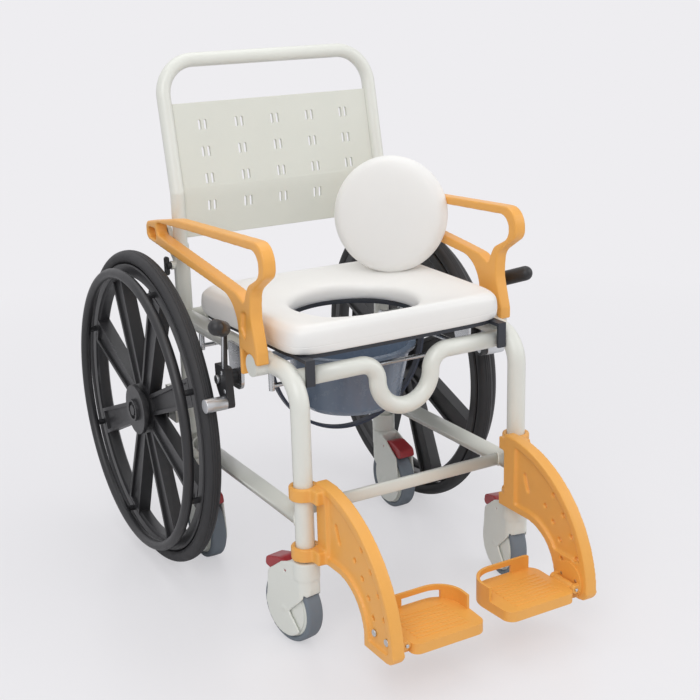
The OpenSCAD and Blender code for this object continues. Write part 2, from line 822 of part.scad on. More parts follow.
// Slot and two rows of height holes through the bracket's web
module bracket_holes() {
    mid_r = bracket_arc_r - 43;
    translate([leg_y - 72, bracket_arc_z + 150]) rotate(-20) {
        square([9, 26], center = true);
        for (e = [-1, 1]) translate([0, e * 13]) circle(d = 9);
    }
    for (row = [-1, 1], i = [1:4])
        translate([leg_y - bracket_arc_ahead, bracket_arc_z]
            + (mid_r + row * 17) * [-cos(11 * i + 7), sin(11 * i + 7)])
            circle(d = bracket_hole_d);
    bolt_places() circle(d = bolt_d);
}

// Two bolt places on the bracket's lower end
module bolt_places() {
    for (y = [-18, 18]) translate([hinge_y + y, hinge_z + 8]) children();
}

// Hinge disc with two ears, bolted to the bracket's inner side
module footplate_hinge(s) {
    color(orange) sided(s) difference() {
        union() {
            translate([bracket_x, hinge_y, hinge_z + 4]) rotate([0, -90, 0])
                cylinder(d = hinge_disc_d, h = hinge_disc_t);
            for (e = [-1, 1]) translate([hinge_x, hinge_y + e * (knuckle_w + ear_w + 1) / 2, hinge_z]) {
                rotate([90, 0, 0]) cylinder(d = knuckle_d, h = ear_w, center = true);
                translate([0, -ear_w / 2, -knuckle_d / 2])
                    cube([bracket_x - hinge_x, ear_w, knuckle_d]);
            }
        }
        translate([hinge_x, hinge_y, hinge_z]) rotate([90, 0, 0])
            cylinder(d = plate_pin_d, h = 4 * knuckle_w, center = true);
        side_plate(0, side_x) bolt_places() circle(d = bolt_d);
    }
}

// Bolts of the hinge disc and the hinge pin
module footrest_bolts(s) {
    recess = (bracket_t - bracket_web_t) / 2;
    pin_len = knuckle_w + 2 * ear_w + 6;
    color(steel) sided(s) {
        side_plate(bracket_x - hinge_disc_t, hinge_disc_t + recess + bracket_web_t)
            bolt_places() circle(d = bolt_d);
        side_plate(bracket_x + recess + bracket_web_t, 3) bolt_places() circle(d = bolt_d + 6);
        translate([hinge_x, hinge_y, hinge_z]) rotate([90, 0, 0])
            cylinder(d = plate_pin_d, h = pin_len, center = true);
    }
}

// Footplate with toe edge, tread ribs and heel loop
module footplate(s) {
    x0 = plate_x - plate_w;
    toe_y = leg_y - footrest_reach + 4;
    heel_y = toe_y + plate_depth;
    low_z = plate_top_z - plate_t;
    outline = rounded([
        [x0 + 6, toe_y, 18],
        [plate_x, toe_y, 14],
        [plate_x, heel_y, heel_corner_r / 2],
        [x0, heel_y, heel_corner_r]], 12);
    ribs = floor((plate_depth - 40) / 10);
    color(orange) sided(s) difference() {
        union() {
            difference() {
                translate([0, 0, low_z]) linear_extrude(plate_t) polygon(outline);
                translate([0, 0, low_z - 1]) linear_extrude(plate_t - 3)
                    offset(delta = -6) polygon(outline);
            }
            for (i = [0:ribs]) translate([x0 + 30, toe_y + 16 + i * 10, plate_top_z])
                cube([plate_w - 46, 4, 1]);
            heel_loop(outline, x0, heel_y);
            translate([hinge_x, hinge_y + knuckle_w / 2, hinge_z]) rotate([90, 0, 0])
                cylinder(d = knuckle_d, h = knuckle_w);
            translate([plate_x - 8, hinge_y - knuckle_w / 2, low_z])
                cube([hinge_x - plate_x + 8, knuckle_w, hinge_z - low_z + 2]);
        }
        translate([hinge_x, hinge_y, hinge_z]) rotate([90, 0, 0])
            cylinder(d = plate_pin_d + 2 * fit, h = 2 * knuckle_w, center = true);
    }
}

// Band around the heel end that stands above the plate on two feet
module heel_loop(outline, x0, heel_y) {
    band = 5;
    far = 12;
    translate([0, 0, plate_top_z - 3]) intersection() {
        linear_extrude(heel_rise + 3) difference() {
            polygon(outline);
            offset(delta = -band) polygon(outline);
        }
        translate([x0 - 1, heel_y - 66, 0]) difference() {
            cube([plate_w - far, 80, heel_rise + 3]);
            translate([24, 26, 2]) cube([plate_w / 2, 80, heel_rise - 8]);
        }
    }
}

// Stem, wheel and pedal places of one castor; end is 1 at the front, -1 at the rear
module castor_place(end) {
    y = end > 0 ? leg_y : post_y;
    translate([side_x, y, 0]) rotate([0, 0, end > 0 ? -castor_splay : 180]) children();
}

// Keeps what lies behind a rounded nose round the castor's stem
module fork_plan(wide) {
    intersection() {
        children();
        linear_extrude(foot_z) {
            circle(d = wide + 1);
            translate([-wide, 0]) square([2 * wide, 2 * castor_d]);
        }
    }
}

// Castor fork with stem, collar, side covers and its axle
module castor_fork(s, end) {
    wide = 2 * (fork_gap + fork_t);
    color([0.80, 0.81, 0.79]) sided(s) castor_place(end) {
        difference() {
            union() {
                translate([0, 0, collar_z]) cylinder(d = collar_d, h = foot_z - gap - collar_z);
                translate([0, 0, foot_z - gap - 1]) cylinder(d = stem_d, h = stem_len + 1);
                fork_plan(wide) side_plate(-wide / 2, wide) difference() {
                    union() {
                        translate([castor_trail, castor_r]) circle(r = castor_hub_r - 2);
                        polygon(rounded([
                            [-collar_d / 2 + 2, collar_z - 16, 8],
                            [castor_trail - castor_hub_r + 2, castor_r, 0],
                            [castor_trail + castor_hub_r - 2, castor_r, 0],
                            [castor_trail + castor_hub_r - 10, castor_d - 4, 10],
                            [castor_trail + 4, foot_z - 12, 10],
                            [collar_d / 2 - 2, foot_z - 4, 6],
                            [-collar_d / 2 + 2, foot_z - 4, 6]]));
                    }
                    translate([castor_trail, castor_r]) rotate(-42)
                        translate([-2 * castor_d, -2 * castor_d - 9])
                        square([2 * castor_d - 8, 2 * castor_d]);
                }
            }
            side_plate(-fork_gap, 2 * fork_gap) {
                translate([castor_trail, castor_r]) circle(r = castor_r + 2);
                translate([castor_trail, 0]) square([castor_d, castor_d + 12]);
            }
            translate([-wide, castor_trail, castor_r]) rotate([0, 90, 0])
                cylinder(d = castor_axle_d, h = 2 * wide);
            translate([-wide, pedal_y, pedal_z]) rotate([0, 90, 0])
                cylinder(d = pedal_pin_d + 2 * fit, h = 2 * wide);
            pedal_space();
        }
        translate([-wide / 2 - 1, castor_trail, castor_r]) rotate([0, 90, 0])
            cylinder(d = castor_axle_d, h = wide + 2);
    }
}

// Room for the pedal to swing in the top of the fork
module pedal_space() {
    translate([-fork_gap, pedal_y - 9, castor_d + 2]) cube([2 * fork_gap, castor_d, 60]);
}

// Castor wheel body
module castor_hub(s, end) {
    color([0.80, 0.81, 0.79]) sided(s) castor_place(end)
        translate([0, castor_trail, castor_r]) rotate([0, 90, 0]) difference() {
            union() {
                cylinder(r = castor_hub_r, h = castor_w - 6, center = true);
                cylinder(r = castor_hub_r - 5, h = castor_w, center = true);
                cylinder(d = castor_axle_d + 10, h = 2 * (fork_gap - gap), center = true);
            }
            cylinder(d = castor_axle_d + 2 * fit, h = 2 * castor_w, center = true);
        }
}

// Grey castor tyre
module castor_tyre(s, end) {
    half = castor_w / 2;
    color([0.46, 0.49, 0.52]) sided(s) castor_place(end)
        translate([0, castor_trail, castor_r]) rotate([0, 90, 0]) rotate_extrude() polygon(concat(
            [[castor_hub_r, 3 - half], [castor_hub_r, half - 3]],
            [[castor_hub_r + 2, half - 1]],
            [for (a = [80:-20:-80]) [castor_r - 7 + 7 * cos(a), (half - 7) * sign(a) + 7 * sin(a)]],
            [[castor_hub_r + 2, 1 - half]]));
}

// Red brake pedal of a castor
module castor_pedal(s, end) {
    wide = 2 * (fork_gap - 1);
    color([0.65, 0.22, 0.23]) sided(s) castor_place(end) {
        side_plate(-wide / 2, wide) polygon(rounded([
            [pedal_y - 6, pedal_z - 5, 4],
            [pedal_y + 34, pedal_z - 5, 4],
            [pedal_y + 46, pedal_z - 14, 4],
            [pedal_y + 62, pedal_z - 11, 6],
            [pedal_y + 58, pedal_z + 6, 9],
            [pedal_y + 20, pedal_z + 16, 20],
            [pedal_y - 6, pedal_z + 7, 4]]));
        translate([-fork_gap - fork_t + 1, pedal_y, pedal_z]) rotate([0, 90, 0])
            cylinder(d = pedal_pin_d, h = 2 * (fork_gap + fork_t - 1));
    }
}

// Children on a drive wheel's middle plane, with the axle along local +Z, outwards
module at_wheel(s) {
    sided(s) translate([wheel_x, axle_y, axle_z]) rotate([0, 90, 0]) children();
}

// Round tyre on the moulded rim
module wheel_tyre(s) {
    mid_r = (wheel_d - tyre_w) / 2;
    color([0.13, 0.13, 0.13]) at_wheel(s) rotate_extrude($fn = 128) intersection() {
        translate([mid_r, 0]) circle(d = tyre_w, $fn = 32);
        translate([rim_r, -tyre_w]) square([tyre_w, 2 * tyre_w]);
    }
}

// Moulded wheel with ribbed spokes and a hub
module mag_wheel(s) {
    color(black) at_wheel(s) difference() {
        union() {
            rotate_extrude($fn = 128) polygon([
                [rim_inner_r, -rim_w / 2 + 4], [rim_inner_r + 6, -rim_w / 2], [rim_r - 2, -rim_w / 2],
                [rim_r, -rim_w / 2 + 2], [rim_r, rim_w / 2 - 2], [rim_r - 2, rim_w / 2],
                [rim_inner_r + 6, rim_w / 2], [rim_inner_r, rim_w / 2 - 4]]);
            translate([0, 0, -hub_in]) cylinder(d = hub_d, h = hub_in + hub_out);
            translate([0, 0, hub_out - 8]) cylinder(d = hub_flange_d, h = 8);
            translate([0, 0, hub_out]) cylinder(d = cap_d, h = cap_out - hub_out);
            for (i = [0:spoke_count - 1]) rotate((i + 0.5) * 360 / spoke_count) spoke();
        }
        translate([0, 0, -hub_in - 1]) cylinder(d = axle_d + 2 * fit, h = hub_in + hub_out);
        translate([0, 0, hub_out + 2]) difference() {
            cylinder(d = cap_d - 8, h = cap_out);
            cylinder(d = cap_d - 22, h = cap_out);
        }
    }
}

// One spoke with a channel along each face
module spoke() {
    root_w = spoke_w * 0.74;
    end_r = rim_inner_r + 3;
    difference() {
        translate([0, 0, -spoke_t / 2 + 1]) linear_extrude(spoke_t) polygon([
            [hub_d / 2 - 6, -root_w / 2], [end_r, -spoke_w / 2],
            [end_r, spoke_w / 2], [hub_d / 2 - 6, root_w / 2]]);
        for (z = [-spoke_t / 2 - 4, spoke_t / 2 - 4]) translate([0, 0, z]) linear_extrude(10) polygon([
            [hub_flange_d / 2, spoke_rib - root_w / 2], [end_r - 6, spoke_rib - spoke_w / 2],
            [end_r - 6, spoke_w / 2 - spoke_rib], [hub_flange_d / 2, root_w / 2 - spoke_rib]]);
    }
}

// Handrim tube with its standoffs to the rim
module handrim(s) {
    standoff_d = 11;
    foot_r = (rim_inner_r + rim_r) / 2;
    color(black) at_wheel(s) {
        translate([0, 0, handrim_out]) rotate_extrude($fn = 128)
            translate([handrim_d / 2, 0]) circle(d = handrim_tube_d, $fn = 32);
        for (i = [0:spoke_count - 1]) rotate((i + 0.5) * 360 / spoke_count) difference() {
            bar([foot_r, 0, rim_w / 2 - standoff_d], [handrim_d / 2, 0, handrim_out], standoff_d);
            translate([0, -standoff_d, rim_w / 2 - 3 * standoff_d])
                cube([wheel_d, 2 * standoff_d, 3 * standoff_d]);
        }
    }
}

// Brake lever: black block on the pivot, thin rod and grip
module brake_lever(s) {
    stem_t = 6;
    root = [lever_x + lever_t - stem_t / 2, brake_y - 27, brake_z + 94];
    grip_turn = atan2(-0.80, 0.52);
    grip_tip = acos(0.31);
    collar = 16;
    tail = 5;
    r = grip_d / 2;
    end = grip_len + collar + r;
    color(black) sided(s) {
        difference() {
            union() {
                side_plate(lever_x, lever_t) polygon(rounded([
                    [brake_y - 28, brake_z + 26, 4],
                    [brake_y - 30, brake_z - 6, 8],
                    [brake_y - 35, brake_z - 46, 9],
                    [brake_y - 11, brake_z - 46, 9],
                    [brake_y + 12, brake_z - 14, 10],
                    [brake_y + 14, brake_z + 26, 4]]));
                side_plate(brake_in_x + brake_plate_t + gap, lever_x - gap - brake_in_x - brake_plate_t)
                    translate([brake_y, brake_z]) circle(r = 13);
            }
            bar([0, brake_y, brake_z], [2 * side_x, brake_y, brake_z], brake_pin_d + 2 * fit);
            bar([0, shoe_y, shoe_z], [2 * side_x, shoe_y, shoe_z], shoe_pin_d + 2 * fit);
        }
        side_plate(root.x - stem_t / 2, stem_t) polygon([
            [brake_y - 26, brake_z + 20],
            [brake_y - 12, brake_z + 20],
            [root.y + 5, root.z],
            [root.y - 5, root.z]]);
        translate(root) rotate([0, grip_tip, grip_turn]) rotate_extrude() polygon(concat(
            [[0, -tail], [r - 5, -tail], [r - 5, collar], [r - 1, collar], [r, collar + 2]],
            [for (a = [0:15:75]) [r * cos(a), end - r + r * sin(a)]],
            [[0, end]]));
    }
}

// Brake shoe: bar that presses on the tyre, with its pin in the lever's block
module brake_shoe(s) {
    color(steel) sided(s) {
        bar([lever_x, shoe_y, shoe_z], [lever_x + lever_t + 1, shoe_y, shoe_z], shoe_pin_d);
        bar([lever_x + lever_t, shoe_y, shoe_z], [wheel_x + tyre_w / 2 + 4, shoe_y, shoe_z], shoe_d);
    }
}

// Half of the seat's width at a place along it
function seat_half(y) =
    let (t = (y - seat_front_y) / (seat_back_y - seat_front_y))
    (seat_w_front + (seat_w_back - seat_w_front) * t) / 2 - 3 * sin(180 * t);

// Point of the seat's outline in direction a from the opening's centre
function seat_edge(a) =
    let (
        power = 11,
        dy = sin(a) > 0 ? seat_back_y - opening_y : opening_y - seat_front_y,
        dx = (seat_w_front + seat_w_back) / 4,
        r = pow(pow(abs(cos(a)) / dx, power) + pow(abs(sin(a)) / dy, power), -1 / power),
        y = opening_y + r * sin(a)
    )
    [r * cos(a) * seat_half(y) / dx, y];

// Upper face of the pad's section, from opening to outer edge: [share of the way out, height]
function seat_top() = [
    [0, 0.36], [0.04, 0.64], [0.15, 0.81], [0.32, 0.93], [0.52, 1.02], [0.72, 1.11],
    [0.86, 1.15], [0.94, 1.04], [0.985, 0.78], [1, 0.42]];

// Height above the base board for a height in the section, where 1 is the pad without its crown
function section_rise(h) =
    (seat_t - seat_crown) * min(h, 1) + seat_crown * max(h - 1, 0) / 0.15;

// Crowned seat pad with a flared opening and drawn-in sides
module seat_pad() {
    section = concat([[0.03, 0]], seat_top(), [[0.985, 0.14], [0.955, 0]]);
    m = len(section);
    n = 90;
    points = [for (i = [0:n - 1], p = section)
        let (
            a = 360 * i / n,
            inner = [opening_d / 2 * cos(a), opening_y + opening_d / 2 * sin(a)],
            place = inner + (seat_edge(a) - inner) * p[0]
        )
        [place.x, place.y, pad_z + section_rise(p[1])]];
    faces = [for (i = [0:n - 1], j = [0:m - 1])
        let (
            a = i * m + j,
            b = i * m + (j + 1) % m,
            c = ((i + 1) % n) * m + j,
            d = ((i + 1) % n) * m + (j + 1) % m
        )
        each [[a, b, d], [a, d, c]]];
    color(white) polyhedron(points, faces);
}

// Base board under the pad with two clips over the dipped front tube
module seat_base() {
    clip_w = 16;
    clip_t = 5;
    clip_reach = cross_ahead + cross_d / 2 + 46;
    clip_x = min(seat_w_front / 2, side_x - tube_d / 2) - clip_w - 2;
    clip_y = cross_y - cross_d / 2 - gap - clip_t;
    clip_low_z = cross_z - cross_d / 2 + 3;
    edge = [for (a = [0:5:355]) [0, opening_y] + 0.955 * (seat_edge(a) - [0, opening_y])];
    color([0.20, 0.22, 0.26]) {
        translate([0, 0, base_z]) linear_extrude(seat_base_t) difference() {
            polygon(edge);
            translate([0, opening_y]) circle(d = opening_d + 10);
        }
        for (s = [-1, 1]) sided(s) translate([clip_x, clip_y, 0]) {
            translate([0, 0, clip_low_z]) cube([clip_w, clip_t, base_z + seat_base_t - 2 - clip_low_z]);
            translate([0, 0, base_z]) cube([clip_w, clip_reach, seat_base_t - 2]);
        }
    }
}

// Height of the pad's upper face above a place on it
function pad_top(x, y) =
    let (
        from = [x, y - opening_y],
        edge = norm(seat_edge(atan2(from.y, from.x)) - [0, opening_y]),
        share = (norm(from) - opening_d / 2) / (edge - opening_d / 2)
    )
    share < 0 || share > 1 ? 0 : pad_z + lookup(share, [for (p = seat_top()) [p[0], section_rise(p[1])]]);

// Half section of the lid cushion: crowned face above, drawn-in rim, flat back below
function lid_profile() =
    let (
        r = lid_d / 2,
        t = lid_t / 2,
        lip = 13,
        crown = 3
    )
    concat(
        [[0, -t], [r - lip - crown, -t]],
        [for (a = [-75:25:75]) [r - lip + lip * cos(a) * (a < 0 ? 0.8 : 1), 2 + (t - 2 * crown) * sin(a)]],
        [for (k = [5:-1:0]) [(r - lip - 1) * k / 5, t - crown + crown * cos(90 * k / 5)]]);

// Place of a section point p turned by a about the lid's axis, from the lid's centre
function lid_point(p, a) =
    p.y * [-sin(lid_turn) * cos(lid_lean), -cos(lid_turn) * cos(lid_lean), sin(lid_lean)]
    + p.x * cos(a) * [cos(lid_turn), -sin(lid_turn), 0]
    + p.x * sin(a) * [sin(lid_turn) * sin(lid_lean), cos(lid_turn) * sin(lid_lean), cos(lid_lean)];

// Round lid cushion that stands on the pad and leans against the right armrest
module lid_cushion() {
    rim = [for (p = lid_profile(), a = [0:5:355]) lid_point(p, a)];
    y = ahead(lid_ahead);
    x = arm_in_x - gap - max([for (q = rim) q.x]);
    z = gap + max([for (q = rim) pad_top(x + q.x, y + q.y) - q.z]);
    color(white) translate([x, y, z]) rotate([0, 0, -lid_turn]) rotate([90 - lid_lean, 0, 0])
        rotate_extrude($fn = 96) polygon(lid_profile());
}

// Round bucket with a rolled rim and two ears for runners and handle
module bucket() {
    color(blue_grey) translate([0, bucket_y, bucket_rim_z]) {
        rotate_extrude($fn = 96) polygon([
            [0, -bucket_depth], [bucket_floor_r - 10, -bucket_depth], [bucket_floor_r, 10 - bucket_depth],
            [bucket_rim_r - 10, 0], [bucket_rim_r, 0], [bucket_rim_r, bucket_rim_t],
            [bucket_rim_r - 10 - bucket_wall, bucket_rim_t],
            [bucket_floor_r - bucket_wall, 10 - bucket_depth + bucket_wall],
            [bucket_floor_r - 10 - bucket_wall, bucket_wall - bucket_depth],
            [0, bucket_wall - bucket_depth]]);
        for (s = [-1, 1]) sided(s) difference() {
            translate([bucket_rim_r - 6, -ear_depth / 2, 0])
                cube([ear_x - bucket_rim_r + 6, ear_depth, bucket_rim_t]);
            translate([bail_x - 9, -12, -1]) cube([18, 24, bucket_rim_t + 2]);
        }
        for (s = [-1, 1]) sided(s) difference() {
            union() {
                translate([bail_x - 13, -9, -12]) cube([4, 18, 12 + bucket_rim_t]);
            }
            translate([bail_x - 20, 0, bail_z - bucket_rim_z]) rotate([0, 90, 0])
                cylinder(d = bail_pin_d + 2 * fit, h = 20);
        }
    }
}

// Bowed carrying handle that hangs from the bucket's ears
module bucket_handle() {
    band = 5;
    band_w = 12;
    drop = 8;
    color([0.22, 0.25, 0.32]) translate([0, bucket_y, bail_z]) {
        translate([0, band_w / 2, drop]) rotate([90, 0, 0]) linear_extrude(band_w) difference() {
            circle(r = bail_r + band / 2, $fn = 128);
            circle(r = bail_r - band / 2, $fn = 128);
            translate([-2 * bail_r, -drop]) square(4 * bail_r);
        }
        for (s = [-1, 1]) sided(s) {
            translate([bail_x - 4, 0, 0]) rotate([0, 90, 0]) cylinder(d = 12, h = 6);
            translate([bail_x - 14, 0, 0]) rotate([0, 90, 0]) cylinder(d = bail_pin_d, h = 12);
        }
    }
}

front_leg(-1);  // front_leg_left
front_leg(1);  // front_leg_right
seat_rail(-1);  // seat_rail_left
seat_rail(1);  // seat_rail_right
rear_post(-1);  // rear_post_left
rear_post(1);  // rear_post_right
front_cross_tube();
rear_cross_tube();
lower_rails();
lower_cross_tube();
axle_brackets();
wheel_axles();
bucket_runners();
brake_brackets();
arm_pivot_bolts();
back_tube();
back_panel();
wing_screw(-1);  // wing_screw_left
wing_screw(1);  // wing_screw_right
armrest(-1);  // armrest_left
armrest(1);  // armrest_right
footrest(-1);  // footrest_left
footrest(1);  // footrest_right
footplate_hinge(-1);  // footplate_hinge_left
footplate_hinge(1);  // footplate_hinge_right
footrest_bolts(-1);  // footrest_bolts_left
footrest_bolts(1);  // footrest_bolts_right
footplate(-1);  // footplate_left
footplate(1);  // footplate_right
castor_fork(-1, 1);  // front_castor_fork_left
castor_fork(1, 1);  // front_castor_fork_right
castor_fork(-1, -1);  // rear_castor_fork_left
castor_fork(1, -1);  // rear_castor_fork_right
castor_hub(-1, 1);  // front_castor_hub_left
castor_hub(1, 1);  // front_castor_hub_right
castor_hub(-1, -1);  // rear_castor_hub_left
castor_hub(1, -1);  // rear_castor_hub_right
castor_tyre(-1, 1);  // front_castor_tyre_left
castor_tyre(1, 1);  // front_castor_tyre_right
castor_tyre(-1, -1);  // rear_castor_tyre_left
castor_tyre(1, -1);  // rear_castor_tyre_right
castor_pedal(-1, 1);  // front_castor_pedal_left
castor_pedal(1, 1);  // front_castor_pedal_right
castor_pedal(-1, -1);  // rear_castor_pedal_left
castor_pedal(1, -1);  // rear_castor_pedal_right
wheel_tyre(-1);  // wheel_tyre_left
wheel_tyre(1);  // wheel_tyre_right
mag_wheel(-1);  // mag_wheel_left
mag_wheel(1);  // mag_wheel_right
handrim(-1);  // handrim_left
handrim(1);  // handrim_right
brake_lever(-1);  // brake_lever_left
brake_lever(1);  // brake_lever_right
brake_shoe(-1);  // brake_shoe_left
brake_shoe(1);  // brake_shoe_right
seat_pad();
seat_base();
lid_cushion();
bucket();
bucket_handle();
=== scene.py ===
"""Looks of a self-propelled shower commode chair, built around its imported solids."""

import logging
import math
from dataclasses import dataclass
from enum import Enum
from typing import Any, Iterable, Sequence

import bpy
import numpy as np
from mathutils import Matrix, Vector


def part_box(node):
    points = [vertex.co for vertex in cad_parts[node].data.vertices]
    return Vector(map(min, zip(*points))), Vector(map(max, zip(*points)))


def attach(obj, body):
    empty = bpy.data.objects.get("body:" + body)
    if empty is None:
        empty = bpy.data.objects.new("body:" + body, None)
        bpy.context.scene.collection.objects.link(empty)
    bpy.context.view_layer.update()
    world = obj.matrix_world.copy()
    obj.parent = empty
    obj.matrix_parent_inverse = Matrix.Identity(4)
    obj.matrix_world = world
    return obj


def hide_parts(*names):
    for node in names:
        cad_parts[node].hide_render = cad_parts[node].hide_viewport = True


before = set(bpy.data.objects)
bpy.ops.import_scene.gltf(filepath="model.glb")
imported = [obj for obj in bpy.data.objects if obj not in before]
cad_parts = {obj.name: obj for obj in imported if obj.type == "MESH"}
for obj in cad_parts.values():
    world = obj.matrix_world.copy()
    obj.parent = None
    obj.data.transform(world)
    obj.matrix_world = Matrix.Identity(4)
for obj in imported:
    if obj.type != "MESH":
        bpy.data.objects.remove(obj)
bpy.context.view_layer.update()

log = logging.getLogger("commode_chair")

SIDES = ("left", "right")
ENDS = ("front", "rear")
Point = tuple[float, float, float]

SOFT_LEVELS = 2

NOISE_ROUGHNESS = 0.55
BROAD_DETAIL = 3.0
PATCH_DETAIL = 4.0
PATCHES_PER_DRIFT = 5
BUMP_STRENGTH = 0.6
COAT_ROUGHNESS = 0.25
RELIEF_SHEEN = 0.05
BROAD_SHARE = 0.7
DRIFT_CONTRAST = 1.8
# Pointiness range and pale grey tone of the edge lightening: partly edge wear, partly a painted highlight on
# moulded edges.
EDGE_WEAR_AND_HIGHLIGHT_FROM = 0.52
EDGE_WEAR_AND_HIGHLIGHT_TO = 0.62
EDGE_WEAR_AND_HIGHLIGHT_TONE = 0.62
BRUSHED_STRETCH = (1.0, 1.0, 0.04)
BRUSHED_DETAIL = 2.0
PEEL_DETAIL = 1.0
MOULD_DETAIL = 4.0
SKIN_CONTRAST = 2.2


def linear(colour: Sequence[float]) -> tuple[float, float, float, float]:
    """Turn a colour as seen on a screen into the shader's linear colour.

    Args:
        colour: Red, green and blue from 0 to 255.

    Returns:
        The linear colour with an alpha of 1.
    """
    shares = [c / 255 for c in colour]
    return (*[s / 12.92 if s <= 0.04045 else ((s + 0.055) / 1.055) ** 2.4 for s in shares], 1.0)


class Wire:
    """A value socket of a shader that takes part in Python expressions."""

    def __init__(self, graph: "Graph", socket: bpy.types.NodeSocket) -> None:
        """Keep the socket and the graph that it belongs to."""
        self.graph = graph
        self.socket = socket

    def _maths(self, operation: str, first: Any, second: Any) -> "Wire":
        """Add one Math node and return its value."""
        return self.graph.add("ShaderNodeMath", {"operation": operation}, {0: first, 1: second})["Value"]

    def __add__(self, other: Any) -> "Wire":
        """Sum with a number or another value."""
        return self._maths("ADD", self, other)

    def __sub__(self, other: Any) -> "Wire":
        """Difference from a number or another value."""
        return self._maths("SUBTRACT", self, other)

    def __rsub__(self, other: Any) -> "Wire":
        """Difference of a number and this value."""
        return self._maths("SUBTRACT", other, self)

    def __mul__(self, other: Any) -> "Wire":
        """Product with a number or another value."""
        return self._maths("MULTIPLY", self, other)

    def clamped(self) -> "Wire":
        """This value held between 0 and 1."""
        return self.graph.add("ShaderNodeClamp", {}, {"Value": self})["Result"]


class Outputs:
    """The outputs of one node, by name."""

    def __init__(self, graph: "Graph", node: bpy.types.Node) -> None:
        """Keep the node and its graph."""
        self.graph = graph
        self.node = node

    def __getitem__(self, name: str) -> Wire:
        """The output socket of that name."""
        return Wire(self.graph, self.node.outputs[name])


class Graph:
    """A node tree that nodes are added to by one method."""

    def __init__(self, tree: bpy.types.NodeTree) -> None:
        """Empty the tree and keep it."""
        self.tree = tree
        tree.nodes.clear()

    def add(self, kind: str, settings: dict[str, Any], inputs: dict[Any, Any]) -> Outputs:
        """Add a node.

        Args:
            kind: The node's type.
            settings: Its properties, set first; "stops" gives a ramp's places and colours.
            inputs: Numbers, colours or wires for its input sockets.

        Returns:
            The node's outputs.
        """
        node = self.tree.nodes.new(kind)
        for name, value in settings.items():
            if name == "stops":
                ramp = node.color_ramp.elements
                for element, (place, shade) in zip(ramp, value):
                    element.position = place
                    element.color = (shade, shade, shade, 1.0)
            else:
                setattr(node, name, value)
        for name, value in inputs.items():
            if isinstance(value, Wire):
                self.tree.links.new(value.socket, node.inputs[name])
            else:
                node.inputs[name].default_value = value
        return Outputs(self, node)


class Grain(Enum):
    """Fine relief of a surface."""

    ORANGE_PEEL = "orange peel"
    MOULDED = "moulded"
    SKIN = "foam skin"
    BRUSHED = "brushed"
    RUBBER = "rubber"


